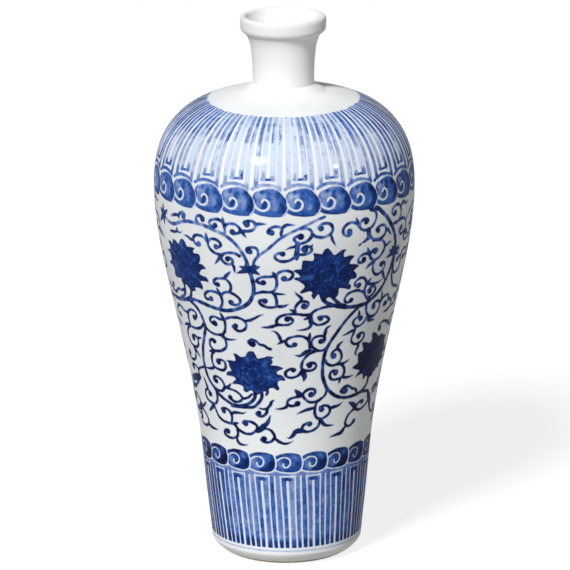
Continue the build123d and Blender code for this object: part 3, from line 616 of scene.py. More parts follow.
# The crease at the root of the neck, drawn tighter than the thrown fillet by the glaze.
ROOT_REACH = 29
NECK_ROOT = ((24.4, 346.15), (23.2, 346.6), (22.55, 347.5), (22.28, 349.2))
NECK_STEP = 1
LIP_WIDEST = 392
SHORTEST_RUN = 1.2
FINE_STEP = 0.1
BOX_MARGIN = 0.01
WIDEST = min(abs(value) for corner in CAD_BOX for value in corner[:2]) / MM - BOX_MARGIN
HIGHEST = CAD_BOX[1][2] / MM


def smooth_line(points, step):
    """A smooth line through the points, sampled no further apart than the step."""
    points = np.asarray(points, float)
    padded = np.vstack((2 * points[0] - points[1], points, 2 * points[-1] - points[-2]))
    runs = []
    for before, start, end, after in zip(padded, padded[1:], padded[2:], padded[3:]):
        count = max(1, math.ceil(np.linalg.norm(end - start) / step))
        t = (np.arange(count) / count)[:, None]
        cubic = 3 * (start - end) + after - before
        square = 2 * before - 5 * start + 4 * end - after
        runs.append(start + 0.5 * t * (end - before + t * (square + t * cubic)))
    runs.append(points[-1:])
    return np.vstack(runs)


def frame_tree():
    """All the faces of the frame, and their corners, for rays to meet."""
    corners, faces = [], []
    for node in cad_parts.values():
        start = len(corners)
        corners.extend(vertex.co.copy() for vertex in node.data.vertices)
        faces.extend([start + i for i in face.vertices] for face in node.data.polygons)
    return BVHTree.FromPolygons(corners, faces), corners, faces


def read_wall():
    """The outer wall from the foot to the lip: radius, height and distance along it, in mm."""
    tree, corners, faces = frame_tree()
    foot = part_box("lower_wall")[0].z / MM
    aims = [(height, 0) for height in np.arange(FOOT_START, foot, FOOT_STEP)]
    aims += [(height, 0) for height in np.arange(foot + 1, CROWN_PIVOT, LEVEL_STEP)]
    aims += [(CROWN_PIVOT, tilt) for tilt in np.arange(0, TILT_END, TILT_STEP)]
    aims += [(height, 0) for height in np.arange(NECK_START, LIP_WIDEST, NECK_STEP)]
    found = {}
    for height, tilt in aims:
        slope = math.radians(tilt)
        towards = Vector((-math.cos(slope), 0, -math.sin(slope)))
        start = Vector((0, SIDE_STEP, height * MM)) - towards * RAY_LENGTH
        place, _, face, _ = tree.ray_cast(start, towards)
        if place is None:
            raise RuntimeError("A ray missed the vase's wall")
        for corner in (corners[i] for i in faces[face]):
            radius, rise = math.hypot(corner.x, corner.y) / MM, corner.z / MM
            above = rise - CROWN_PIVOT
            upright = above <= 0 or rise >= NECK_START
            order = rise if upright else CROWN_PIVOT + math.degrees(math.atan2(above, radius))
            found[round(order, 3)] = (radius, rise)
    line = []
    for order in sorted(found):
        point = np.array(found[order])
        at_root = point[0] < ROOT_REACH and CROWN_PIVOT < point[1] < NECK_START
        if not at_root and (not line or np.linalg.norm(point - line[-1]) > SHORTEST_RUN):
            line.append(point)
    crown = sum(point[1] < NECK_START for point in line)
    line[crown:crown] = [np.array(point) for point in NECK_ROOT]
    fine = np.minimum(smooth_line(line, FINE_STEP), (WIDEST, HIGHEST))
    travel = np.concatenate(([0], np.cumsum(np.linalg.norm(np.diff(fine, axis=0), axis=1))))
    return SimpleNamespace(radius=fine[:, 0], height=fine[:, 1], travel=travel)


WALL = read_wall()


def travel_at(height):
    """The distance along the wall line at a height, in mm."""
    return np.interp(height, WALL.height, WALL.travel)


def radius_at(height):
    """The radius of the wall line at a height, in mm."""
    return np.interp(travel_at(height), WALL.travel, WALL.radius)


# Painting on a canvas: the rows and columns of a wall, each with its distance to the nearest brush mark
# (inside is negative) and its load of cobalt.

BARE = 9.0
PLAIN_SPACING = 2.9
REACH = 1.6
STROKE_STEP = 0.4
MARKS_AT_ONCE = 24
TINY = 1e-12
THINNER = 0.16
THINNER_REACH = 1.0


def blank_canvas(low, high, columns, spacing, plain_above=None):
    """A bare canvas for the wall between two heights, with wider rows above the painting."""
    top = travel_at(high)
    change = min(top, travel_at(plain_above)) if plain_above else top
    fine = np.linspace(travel_at(low), change, math.ceil((change - travel_at(low)) / spacing) + 1)
    wide = np.linspace(change, top, math.ceil((top - change) / PLAIN_SPACING) + 1)
    travel = np.concatenate((fine, wide[1:]))
    return SimpleNamespace(
        travel=travel,
        radius=np.interp(travel, WALL.travel, WALL.radius),
        height=np.interp(travel, WALL.travel, WALL.height),
        columns=columns,
        pitch=360 / columns,
        brush=np.full((len(travel), columns), BARE),
        load=np.zeros((len(travel), columns)),
    )


def window(canvas, angles, travels, reach):
    """The rows and columns within reach of some points, with their angles, or None."""
    first, last = np.searchsorted(canvas.travel, (travels.min() - reach, travels.max() + reach))
    if first >= last:
        return None
    spread = math.degrees(reach / canvas.radius[first:last].min())
    left = math.floor((angles.min() - spread) / canvas.pitch)
    right = math.ceil((angles.max() + spread) / canvas.pitch)
    columns = np.arange(left, right + 1)
    return np.arange(first, last), columns % canvas.columns, columns * canvas.pitch


def stroke_marks(canvas, path, widths):
    """Each part of the canvas near a stroke: its place, its gap and the nearest point of the stroke."""
    angles, travels = path[:, 0], travel_at(path[:, 1])
    for start in range(0, len(path), MARKS_AT_ONCE):
        some = slice(start, start + MARKS_AT_ONCE)
        found = window(canvas, angles[some], travels[some], widths[some].max() + REACH)
        if found is None:
            continue
        rows, columns, across = found
        turn = np.radians(across[None, None, :] - angles[some, None, None])
        turn = turn * canvas.radius[rows][None, :, None]
        rise = canvas.travel[rows][None, :, None] - travels[some, None, None]
        gap = np.hypot(turn, rise) - widths[some, None, None]
        yield np.ix_(rows, columns), gap.min(0), start + gap.argmin(0)


def outline_marks(canvas, outline):
    """The part of the canvas that a closed outline covers, and its gap to the outline."""
    angles, travels = outline[:, 0], travel_at(outline[:, 1])
    found = window(canvas, angles, travels, REACH)
    if found is None:
        return
    rows, columns, across = found
    scale = math.radians(canvas.radius[rows].mean())
    x, y = np.meshgrid(across * scale, canvas.travel[rows])
    px, py = angles * scale, travels
    qx, qy = np.roll(px, -1), np.roll(py, -1)
    nearest = np.full(x.shape, np.inf)
    inside = np.zeros(x.shape, bool)
    for ax, ay, bx, by in zip(px, py, qx, qy):
        length = max((bx - ax) ** 2 + (by - ay) ** 2, TINY)
        t = np.clip(((x - ax) * (bx - ax) + (y - ay) * (by - ay)) / length, 0, 1)
        nearest = np.minimum(nearest, np.hypot(x - ax - t * (bx - ax), y - ay - t * (by - ay)))
        if ay != by:
            crosses = (ay > y) != (by > y)
            inside ^= crosses & (x < ax + (y - ay) / (by - ay) * (bx - ax))
    yield np.ix_(rows, columns), np.where(inside, -nearest, nearest)


def lay(canvas, place, gap, load):
    """Lays cobalt on part of the canvas."""
    before = canvas.brush[place]
    canvas.load[place] = np.where(gap < before, load, canvas.load[place])
    canvas.brush[place] = np.minimum(before, gap)


def paint(canvas, path, widths, loads):
    """A stroke whose half width and load change along its path."""
    for place, gap, nearest in stroke_marks(canvas, path, widths):
        lay(canvas, place, gap, loads[nearest])


def paint_line(canvas, path, half, load):
    """An even stroke along a path."""
    paint(canvas, path, np.full(len(path), half), np.full(len(path), load))


def fill(canvas, outline, load):
    """Lays cobalt inside a closed outline."""
    for place, gap in outline_marks(canvas, outline):
        lay(canvas, place, gap, load)


def fill_band(canvas, low, high, load):
    """Lays cobalt all round between two heights."""
    gap = np.maximum(travel_at(low) - canvas.travel, canvas.travel - travel_at(high))
    lay(canvas, slice(None), np.repeat(gap[:, None], canvas.columns, axis=1), load)


def spare(canvas, points, turn, half):
    """Leaves a line of the white ground bare, with the cobalt thinner beside it."""
    path = brush_path(points, turn)
    for place, gap, _ in stroke_marks(canvas, path, np.full(len(path), half)):
        canvas.brush[place] = np.maximum(canvas.brush[place], -gap)
        canvas.load[place] -= THINNER * np.clip(1 - gap / THINNER_REACH, 0, 1)


def soak(canvas, points, turn, mark, load):
    """Changes the load of cobalt along a line that is already painted."""
    half, blur = mark
    path = brush_path(points, turn)
    for place, gap, _ in stroke_marks(canvas, path, np.full(len(path), half)):
        share = np.clip(0.5 - gap / (2 * blur), 0, 1)
        canvas.load[place] += (load - canvas.load[place]) * share


def brush_path(points, turn):
    """A smooth brush path through given points, turned round the vase."""
    points = np.asarray(points, float)
    scale = np.array((math.radians(radius_at(points[:, 1].mean())), 1))
    return smooth_line(points * scale, STROKE_STEP) / scale + (turn, 0)


def closed(points, turn):
    """A smooth closed outline through given points."""
    points = np.asarray(points, float)
    around = np.vstack((points, points[:1]))
    return brush_path(around, turn)[:-1]


def path_travel(path):
    """The distance along a path at each of its points, in mm."""
    radius = radius_at(path[:, 1])
    steps = np.hypot(np.radians(np.diff(path[:, 0])) * radius[1:], np.diff(travel_at(path[:, 1])))
    return np.concatenate(([0], np.cumsum(steps)))


LONG_WAVE = 19
LONG_SHARE = 0.6
SHORT_WAVE = 7
SHORT_SHARE = 0.4


def wavering(travel, rng):
    """A slow, uneven rise and fall along a stroke, about one either way."""
    first, second = rng.uniform(0, 2 * math.pi, 2)
    long, short = 2 * math.pi / LONG_WAVE, 2 * math.pi / SHORT_WAVE
    return LONG_SHARE * np.sin(travel * long + first) + SHORT_SHARE * np.sin(travel * short + second)


FULL_BRUSH_HEIGHTS = (150, 262)
FULL_BRUSH_LOADS = (0.2, -0.04)


def fuller(path):
    """The painter's brush was fuller lower down the belly."""
    return np.interp(path[:, 1], FULL_BRUSH_HEIGHTS, FULL_BRUSH_LOADS)


LOAD_WAVER = 0.26
STEM_BREADTH = 1.2
STEM_WAVER = 0.12
STEM_LOAD = 0.14
LINK_LOAD = 0.6


def paint_stem(canvas, points, half, load, turn, rng):
    """A stem wavers a little in width and in load."""
    path = brush_path(points, turn)
    wave = wavering(path_travel(path), rng)
    widths = STEM_BREADTH * half * (1 + STEM_WAVER * wave)
    paint(canvas, path, widths, load + STEM_LOAD + LOAD_WAVER * wave + fuller(path))


TENDRIL_WAVER = 0.15
TENDRIL_LOAD = 0.7
KNOB_RUN = 2.6
KNOB_CURVE = 1.5
KNOB_SIZES = (0.85, 1.1)
KNOB_MORE = 0.16


def paint_tendril(canvas, points, brush, turn, rng):
    """A tendril swells to a round, dark knob at its end."""
    path = brush_path(points, turn)
    travel = path_travel(path)
    wave = wavering(travel, rng)
    swell = np.clip((travel - travel[-1] + KNOB_RUN) / KNOB_RUN, 0, 1) ** KNOB_CURVE
    half = brush.tendril / 2 / MM
    knob = brush.knob / MM * rng.uniform(*KNOB_SIZES)
    widths = half * (1 + TENDRIL_WAVER * wave) * (1 - swell) + knob * swell
    paint(canvas, path, widths, TENDRIL_LOAD + LOAD_WAVER * wave + KNOB_MORE * swell + fuller(path))


LEAF_TIMES = (0, 0.25, 0.7, 1)
LEAF_BREADTHS = (0.8, 1.25, 0.8, 0.2)
LEAF_LOAD = 0.9
LEAF_FADE = 0.35
STAR_BREADTH = 1.4
STAR_LOAD = 1.0


def paint_leaf(canvas, points, brush, breadth, turn, load):
    """A leaf swells near its foot and runs out to a point."""
    path = brush_path(points, turn)
    t = np.linspace(0, 1, len(path))
    widths = brush.leaf / 2 / MM * breadth * np.interp(t, LEAF_TIMES, LEAF_BREADTHS)
    paint(canvas, path, widths, load - LEAF_FADE * t + fuller(path))


PETALS = 13
PETAL_RINGS = (0.3, 0.55, 0.8)
FLOWER_REACH = 17
# The paler crescents: how far each strays, reaches and opens, and how much paler it is.
CRESCENT_STRAYS = (-0.2, 0.2)
CRESCENT_REACHES = (0.9, 1.1)
CRESCENT_SIDES = (-0.2, 0, 0.2)
CRESCENT_OPENINGS = (0.5, 1)
CRESCENT_BEND = (0.88, 1, 0.88)
CRESCENT_MARK = (0.15, 0.8)
CRESCENT_FADES = (0.05, 0.5)
# The tips of the petals, painted again: where each stroke starts and ends, and the load that it adds.
TIP_RUN = (0.65, 1.2)
TIP_MARK = (1.0, 1.2)
TIP_LOADS = (-0.3, 0.1)


def paint_flower(canvas, load, centre, outline, turn, rng):
    """A lotus flower: a ragged outline filled with dark cobalt, with paler crescents between petals."""
    centre = np.array(centre, float)
    scale = np.array((math.radians(radius_at(centre[1])), 1))
    fill(canvas, closed(outline, turn), load)
    for share in PETAL_RINGS:
        for petal in range(PETALS):
            angle = 2 * math.pi * (petal + share + rng.uniform(*CRESCENT_STRAYS)) / PETALS
            reaches = FLOWER_REACH * share * rng.uniform(*CRESCENT_REACHES) * np.array(CRESCENT_BEND)
            sides = angle + np.array(CRESCENT_SIDES) * rng.uniform(*CRESCENT_OPENINGS)
            arc = np.column_stack((reaches * np.cos(sides), reaches * np.sin(sides))) / scale
            soak(canvas, centre + arc, turn, CRESCENT_MARK, load - rng.uniform(*CRESCENT_FADES))
    for petal in range(PETALS):
        angle = rng.uniform(0, 2 * math.pi)
        way = np.array((math.cos(angle), math.sin(angle))) / scale
        run = [centre + share * FLOWER_REACH * way for share in TIP_RUN]
        soak(canvas, run, turn, TIP_MARK, load + rng.uniform(*TIP_LOADS))


def paint_scroll(canvas, brush):
    """The scroll of flowers and tendrils round the belly."""
    rng = np.random.default_rng(SEED)
    turns = [UNIT_TURN * copy for copy in range(UNIT_COPIES)]
    unit = (UNIT_STEMS, UNIT_LINKS, UNIT_TENDRILS, UNIT_LEAVES, UNIT_STARS, UNIT_FLOWERS)
    left = (LEFT_STEMS, LEFT_LINKS, LEFT_TENDRILS, LEFT_LEAVES, LEFT_STARS, LEFT_FLOWERS)
    for group, turn in [(unit, turn) for turn in turns] + [(left, 0)]:
        stems, links, tendrils, leaves, stars, flowers = group
        for half, load, points in stems:
            paint_stem(canvas, points, half, load, turn, rng)
        for half, points in links:
            paint_stem(canvas, points, half, LINK_LOAD, turn, rng)
        for points in tendrils:
            paint_tendril(canvas, points, brush, turn, rng)
        for breadth, points in leaves:
            paint_leaf(canvas, points, brush, breadth, turn, LEAF_LOAD)
        for centre, tips in stars:
            for tip in tips:
                paint_leaf(canvas, (centre, tip), brush, STAR_BREADTH, turn, STAR_LOAD)
        for load, centre, outline in flowers:
            hidden = turn == turns[-1] and centre[0] > OUTER_FLOWER
            paint_flower(canvas, load, centre, outline, turn + HIDDEN_SLIP * hidden, rng)


def right_shade_load(turn):
    """Painted shade: the extra load of a lappet on the right, away from the key lamp."""
    return RIGHT_SHADE_LOAD * max(0, math.sin(math.radians(turn)))


def side_shade_load(turn):
    """Painted shade: the extra load of a lappet that is turned away from the front, most of all to the
    right.
    """
    turned = SIDE_SHADE_LOAD * (1 - math.cos(math.radians(turn - SIDE_SHADE_TURN)))
    return min(SIDE_SHADE_MOST, turned + right_shade_load(turn))


def paint_stripe(canvas, stripe, turn, rng):
    """A stripe of a shoulder lappet: a wash with darker edges, pools at both ends and streaks between."""
    foot_angle, top_angle, half, foot, load = stripe
    # Painted highlight and shade: the wash is paler in front and darker at the sides.
    highlight_and_shade = min(PAINTED_LIGHT_MOST, PAINTED_LIGHT_MIDDLE - PAINTED_LIGHT_SWING * math.cos(math.radians(turn + PAINTED_LIGHT_TURN)))
    wash = load + rng.uniform(*WASH_STRAYS) + highlight_and_shade
    edge = half * rng.uniform(*STRIPE_WIDTHS)
    wide = edge * STRIPE_SPREAD
    sideways = math.sin(math.radians(turn + top_angle)) ** 2
    top = STRIPE_TOP + SIDE_RISE * sideways + rng.uniform(*TOP_STRAYS)

    def leaning(height, highest):
        return np.interp(height, (foot, highest), (foot_angle, top_angle))

    corners = ((foot_angle - edge, foot), (foot_angle + edge, foot), (top_angle + wide, top),
               (top_angle - wide, top))
    fill(canvas, np.array(corners) + (turn, 0), wash)
    for side in (-STRIPE_EDGE, STRIPE_EDGE):
        line = ((foot_angle + side * edge, foot), (top_angle + side * wide, top))
        soak(canvas, line, turn, STRIPE_EDGE_MARK, wash + rng.uniform(*STRIPE_EDGE_LOADS))
    pool = ((leaning(STRIPE_POOL_FOOT, top), STRIPE_POOL_FOOT), (top_angle, top))
    soak(canvas, pool, turn, STRIPE_POOL_MARK, wash + rng.uniform(*STRIPE_POOL_LOADS))
    toe = ((foot_angle, foot), (foot_angle, foot + rng.uniform(*TOE_RUNS)))
    soak(canvas, toe, turn, TOE_MARK, wash + TOE_LOAD)
    for height in rng.uniform(STREAK_FOOT, STRIPE_TOP, STREAKS):
        lean = leaning(height, STRIPE_TOP) + rng.uniform(*STREAK_STRAYS)
        end = (lean + rng.uniform(*STREAK_LEANS), min(height + rng.uniform(*STREAK_RUNS), STRIPE_TOP))
        more = rng.uniform(*STREAK_LOADS) + rng.uniform(*DARK_LOADS) * (height > DARK_STRIPE)
        soak(canvas, ((lean, height), end), turn, STREAK_MARK, wash + more)
    if foot > BARE_STRIPE_FOOT and rng.uniform() < BARE_SHARE:
        bottom = foot + rng.uniform(*BARE_RISES)
        lean = leaning(bottom, STRIPE_TOP)
        run = ((lean, bottom), (lean, bottom + rng.uniform(*BARE_RUNS)))
        soak(canvas, run, turn, (rng.uniform(*BARE_HALVES), BARE_BLUR), BARE_LOAD)


def paint_shoulder(canvas, brush):
    """The cloud-headed lappets on the shoulder."""
    rng = np.random.default_rng(SEED)
    white = brush.white_line / 2 / MM
    turns = SHOULDER_FIRST + np.arange(SHOULDER_CELLS) * 360 / SHOULDER_CELLS
    for turn in turns:
        for stripe in SHOULDER_STRIPES:
            paint_stripe(canvas, stripe, turn, rng)
        for points, half, loads in ((SHOULDER_BRACKET, BRACKET_HALF, BRACKET_LOADS),
                                    (SHOULDER_BRACKET_END, BRACKET_END_HALF, BRACKET_END_LOADS)):
            paint_line(canvas, brush_path(points, turn), half, rng.uniform(*loads))
        # The arches carry painted shade on the sides turned away from the front.
        arch_load = ARCH_LOAD + side_shade_load(turn) + rng.uniform(*ARCH_STRAYS)
        paint_line(canvas, brush_path(SHOULDER_ARCH, turn), ARCH_HALF, arch_load)
    for turn in turns[::-1]:
        # Painted shade: heads and pools on the right get more cobalt.
        more = right_shade_load(turn)
        fill(canvas, closed(SHOULDER_HEAD, turn), SHOULDER_HEAD_LOAD + rng.uniform(*HEAD_STRAYS) + more)
        spare(canvas, SHOULDER_SPIRAL, turn, white * SPIRAL_WHITE)
        for half, load, points in SHOULDER_POOLS:
            mark = (half, SHOULDER_POOL_BLUR)
            soak(canvas, points, turn, mark, load + rng.uniform(*SHOULDER_POOL_STRAYS) + more)
        soak(canvas, SHOULDER_KNOB, turn, SHOULDER_KNOB_MARK, KNOB_LOAD)
    for turn in turns:
        spare(canvas, SHOULDER_RIM, turn, white * RIM_WHITE)


def paint_foot(canvas, brush):
    """The lappets above the foot."""
    rng = np.random.default_rng(SEED)
    white = brush.white_line / 2 / MM
    turns = FOOT_FIRST + np.arange(FOOT_CELLS) * 360 / FOOT_CELLS
    low = LAPPET_FOOT
    fill_band(canvas, low, LAPPET_TOP, LAPPET_LOAD)
    for turn in turns:
        # Painted shade: lappets turned away from the front, most of all on the right, get more cobalt.
        more = side_shade_load(turn)
        for left, right, lean in FOOT_WASHES:
            wash = FOOT_WASH_LOAD + rng.uniform(*FOOT_WASH_STRAYS) + more
            middle = (left + right) / 2
            end = (middle + lean, low)
            soak(canvas, ((middle, FOOT_WASH_TOP), end), turn, FOOT_WASH_MARK, wash)
            for side in (left, right):
                run = ((side, FOOT_WASH_TOP), (side + lean, low))
                soak(canvas, run, turn, FOOT_EDGE_MARK, wash + FOOT_EDGE_LOAD)
            for height in rng.uniform(low, FOOT_STREAK_TOP, FOOT_STREAKS):
                at = middle + lean * (FOOT_WASH_TOP - height) / FOOT_WASH_RUN
                run = ((at, height), (at, height + rng.uniform(*FOOT_STREAK_RUNS)))
                soak(canvas, run, turn, FOOT_STREAK_MARK, wash + rng.uniform(*FOOT_STREAK_LOADS))
            pool = ((middle + lean, LAPPET_POOL_TOP), end)
            soak(canvas, pool, turn, LAPPET_POOL_MARK, LAPPET_POOL_LOAD)
        fill(canvas, closed(FOOT_HEAD, turn), FOOT_HEAD_LOAD + rng.uniform(*HEAD_STRAYS) + more)
        soak(canvas, FOOT_CAP, turn, FOOT_CAP_MARK, FOOT_CAP_LOAD)
        for half, load, points in FOOT_POOLS:
            mark = (half, FOOT_POOL_BLUR)
            soak(canvas, points, turn, mark, load + rng.uniform(*FOOT_POOL_STRAYS) + more)
        soak(canvas, FOOT_KNOB, turn, FOOT_KNOB_MARK, KNOB_LOAD)
    for turn in turns:
        # Painted shade: the white lines grow thinner on the sides turned away from the front.
        thinner = 1 - side_shade_load(turn)
        for points in (FOOT_SPIRAL, FOOT_RIM, FOOT_GATE):
            spare(canvas, points, turn, white * thinner)
        for angles, half in FOOT_STRIPES:
            spare(canvas, tuple(zip(angles, FOOT_STRIPE_HEIGHTS)), turn, half * thinner)
        spare(canvas, tuple(zip(FOOT_CORE, FOOT_CORE_HEIGHTS)), turn, FOOT_CORE_HALF)
    ring = np.array([(angle, FOOT_LINE) for angle in np.arange(0, 360, FOOT_LINE_STEP)])
    paint_line(canvas, ring, FOOT_LINE_HALF, FOOT_LINE_LOAD)


# Meshes.

INNER_STEP = 9
BORE_MARGIN = 0.05
PLAIN_WEDGES = 10
BELLY_WEDGES = 24
SHARP_EDGE = math.radians(40)
SAME_PLACE = 1e-6
BAKE_MAP = "OFBake"
BAKE_STRIPS = 3
BAKE_GAP = 2.0
INSIDE_SHRINK = 4
INSIDE_SQUASH = 5
WALL_TOLERANCE = 0.02
LEVEL_TOLERANCE = 0.01
OUTLINE_DIGITS = 2


def spun_mesh(name, outline, wedges, wedge_columns):
    """A closed outline of (radius, height) in mm, spun to a wedge that is repeated round the axis."""
    outline = np.minimum(outline, (WIDEST, HIGHEST)) * MM
    shape = bmesh.new()
    corners = [shape.verts.new((0, -radius, height)) for radius, height in outline]
    edges = [shape.edges.new(pair) for pair in zip(corners, corners[1:] + corners[:1])]
    wedge = 2 * math.pi / wedges
    around = {"cent": (0, 0, 0), "axis": (0, 0, 1), "dvec": (0, 0, 0)}
    bmesh.ops.spin(shape, geom=corners + edges, angle=wedge, steps=wedge_columns, **around)
    bmesh.ops.spin(shape, geom=shape.verts[:] + shape.edges[:] + shape.faces[:], angle=2 * math.pi - wedge,
                   steps=wedges - 1, use_duplicate=True, **around)
    bmesh.ops.remove_doubles(shape, verts=shape.verts, dist=SAME_PLACE)
    bmesh.ops.recalc_face_normals(shape, faces=shape.faces)
    mesh = bpy.data.meshes.new(name)
    shape.to_mesh(mesh)
    shape.free()
    mesh.shade_smooth()
    mesh.set_sharp_from_angle(angle=SHARP_EDGE)
    return mesh


def inner_line(canvas, thickness):
    """The inside of a wall, from its upper end to its lower end, in coarse steps."""
    slope_r = np.gradient(canvas.radius, canvas.travel)
    slope_z = np.gradient(canvas.height, canvas.travel)
    inside = np.column_stack((canvas.radius - thickness * slope_z, canvas.height + thickness * slope_r))
    count = max(2, math.ceil((canvas.travel[-1] - canvas.travel[0]) / INNER_STEP))
    picks = np.linspace(len(inside) - 1, 0, count).round().astype(int)
    return inside[picks]


def corner_places(mesh):
    """Angle, radius and height of every corner of a mesh, in degrees and mm."""
    places = np.empty(len(mesh.vertices) * 3)
    mesh.vertices.foreach_get("co", places)
    x, y, z = places.reshape(-1, 3).T / MM
    return np.degrees(np.arctan2(x, -y)), np.hypot(x, y), z


def face_corners(mesh):
    """The vertex at each corner of the faces, and the face that the corner belongs to."""
    corner = np.empty(len(mesh.loops), int)
    mesh.loops.foreach_get("vertex_index", corner)
    starts = np.empty(len(mesh.polygons), int)
    mesh.polygons.foreach_get("loop_start", starts)
    return corner, np.repeat(np.arange(len(starts)), np.diff(np.append(starts, len(corner))))


def on_wall(line, radius, height):
    """Which points lie on a line of the outer wall."""
    return np.abs(radius - np.interp(height, line.height, line.radius)) < WALL_TOLERANCE


def whole_faces(face, chosen):
    """Which corners belong to faces that are chosen at all their corners."""
    return (np.bincount(face, chosen) == np.bincount(face))[face]


def round_off(mesh):
    """Gives the outer wall the slope of the wall line, so that neighbours meet without a crease."""
    angle, radius, height = corner_places(mesh)
    outside = on_wall(WALL, radius, height)
    rise = np.interp(height, WALL.height, np.gradient(WALL.height, WALL.travel))
    spread = np.interp(height, WALL.height, np.gradient(WALL.radius, WALL.travel))
    turn = np.radians(angle)
    normals = np.column_stack((rise * np.sin(turn), -rise * np.cos(turn), -spread)) * outside[:, None]
    corner, face = face_corners(mesh)
    mesh.normals_split_custom_set(normals[corner] * whole_faces(face, outside[corner])[:, None])


def keep_value(mesh, name, values):
    """Keeps a value at each corner of a mesh, for its material to read."""
    layer = mesh.attributes.new(name, "FLOAT", "POINT")
    layer.data.foreach_set("value", values.astype(np.float32))


def carry_painting(mesh, canvas):
    """Gives each corner of the outer wall its place on the canvas."""
    angle, radius, height = corner_places(mesh)
    outside = on_wall(canvas, radius, height)
    travel = np.interp(height, canvas.height, canvas.travel)
    rows = np.interp(travel, canvas.travel, np.arange(len(canvas.travel))).round().astype(int)
    columns = (angle / canvas.pitch).round().astype(int) % canvas.columns
    keep_value(mesh, "brush", np.where(outside, canvas.brush[rows, columns], BARE))
    keep_value(mesh, "load", np.where(outside, canvas.load[rows, columns], 0))


def unroll(mesh, canvas):
    """Unrolls the outer wall into strips, one above another, and the inside beside them, smaller."""
    angle, radius, height = corner_places(mesh)
    travel = np.interp(height, canvas.height, canvas.travel) - canvas.travel[0]
    corner, face = face_corners(mesh)
    outer_face = whole_faces(face, on_wall(canvas, radius, height)[corner])
    turn = np.radians(angle[corner])
    sums = [np.bincount(face, part(turn)) for part in (np.sin, np.cos)]
    middle = np.degrees(np.arctan2(*sums))[face] % 360
    local = middle + (angle[corner] - middle + 180) % 360 - 180
    strips = np.where(outer_face, BAKE_STRIPS, BAKE_STRIPS * INSIDE_SHRINK)
    strip = np.floor(middle / 360 * strips)
    girth = 2 * math.pi * canvas.radius.mean() / BAKE_STRIPS
    tall = canvas.travel[-1] - canvas.travel[0] + BAKE_GAP
    depth = travel[corner] + (canvas.radius.max() - radius[corner]) * ~outer_face
    along = local / 360 * strips - strip
    u = np.where(outer_face, along * girth, girth + BAKE_GAP + along * girth / INSIDE_SHRINK)
    v = np.where(outer_face, strip * tall + travel[corner],
                 strip * tall / INSIDE_SHRINK + depth / INSIDE_SQUASH)
    size = max(girth * (1 + 1 / INSIDE_SHRINK) + 2 * BAKE_GAP, tall * BAKE_STRIPS)
    layer = mesh.uv_layers.new(name=BAKE_MAP)
    layer.data.foreach_set("uv", np.column_stack((u, v)).ravel() / size)


def place_piece(mesh, material, slot, *nodes):
    """Puts a finished mesh into the scene in the place of its nodes."""
    mesh.materials.append(material)
    piece = bpy.data.objects.new(mesh.name, mesh)
    bpy.context.scene.collection.objects.link(piece)
    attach(piece, "root")
    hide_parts(*nodes)
    return piece


def painted_wall(name, low, high, wedges, painter, *nodes):
    """A length of the painted wall, with its thickness, in the place of its nodes."""
    shape = bpy.context.scene.vase_shape
    wedge_columns = shape.columns // wedges
    canvas = blank_canvas(low, high, wedges * wedge_columns, shape.row_spacing / MM, PAINT_TOP)
    painter(canvas, bpy.context.scene.vase_brush)
    outer = np.column_stack((canvas.radius, canvas.height))
    outline = np.vstack((outer, inner_line(canvas, shape.wall / MM)))
    mesh = spun_mesh(name, outline, wedges, wedge_columns)
    carry_painting(mesh, canvas)
    unroll(mesh, canvas)
    round_off(mesh)
    return place_piece(mesh, painted_glaze(), "painted_glaze", *nodes)


def node_outline(name):
    """The closed section of a turned node, as (radius, height) in mm, in order round its middle."""
    corners = [vertex.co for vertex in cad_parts[name].data.vertices]
    places = np.array([(math.hypot(corner.x, corner.y), corner.z) for corner in corners]) / MM
    points = np.unique(places.round(OUTLINE_DIGITS), axis=0)
    away = points - (points.min(0) + points.max(0)) / 2
    return points[np.argsort(np.arctan2(away[:, 1], away[:, 0]))]


# Materials.

# Where a Mix node keeps its factor, its two colours and the mixed colour.
COLOUR_MIX_INPUTS = (0, 6, 7)
COLOUR_MIX_OUTPUT = 2


def add(tree, kind, **values):
    """A node with its settings; a value whose name is one of its sockets sets that socket."""
    node = tree.nodes.new(kind)
    for name, value in values.items():
        sockets = [socket for socket in node.inputs if socket.name.lower().replace(" ", "_") == name]
        if sockets:
            sockets[0].default_value = value
        else:
            setattr(node, name, value)
    return node


def mix_colour(tree, factor, first, second):
    """A colour mix; each part is a socket or a plain value."""
    node = add(tree, "ShaderNodeMix", data_type="RGBA")
    for place, value in zip(COLOUR_MIX_INPUTS, (factor, first, second)):
        connect(tree, value, node.inputs[place])
    return node.outputs[COLOUR_MIX_OUTPUT]


def maths(tree, operation, first, second, third=0.0):
    """A Math node; each part is a socket or a plain value."""
    node = add(tree, "ShaderNodeMath", operation=operation)
    for socket, value in zip(node.inputs, (first, second, third)):
        connect(tree, value, socket)
    return node.outputs[0]


def connect(tree, value, socket):
    """Links a socket to another, or gives it a plain value."""
    if isinstance(value, bpy.types.NodeSocket):
        tree.links.new(value, socket)
    else:
        socket.default_value = value


def noise(tree, place, grain):
    """A noise value on the piece's own coordinates; its grain is a scale and a detail."""
    scale, detail = grain
    node = add(tree, "ShaderNodeTexNoise", scale=scale, detail=detail)
    tree.links.new(place, node.inputs["Vector"])
    return node.outputs["Fac"]


def ranged(tree, value, low, high, to_low, to_high):
    """A value carried smoothly from one range to another."""
    node = add(tree, "ShaderNodeMapRange", interpolation_type="SMOOTHSTEP", from_min=low, from_max=high,
               to_min=to_low, to_max=to_high)
    tree.links.new(value, node.inputs["Value"])
    return node.outputs["Result"]


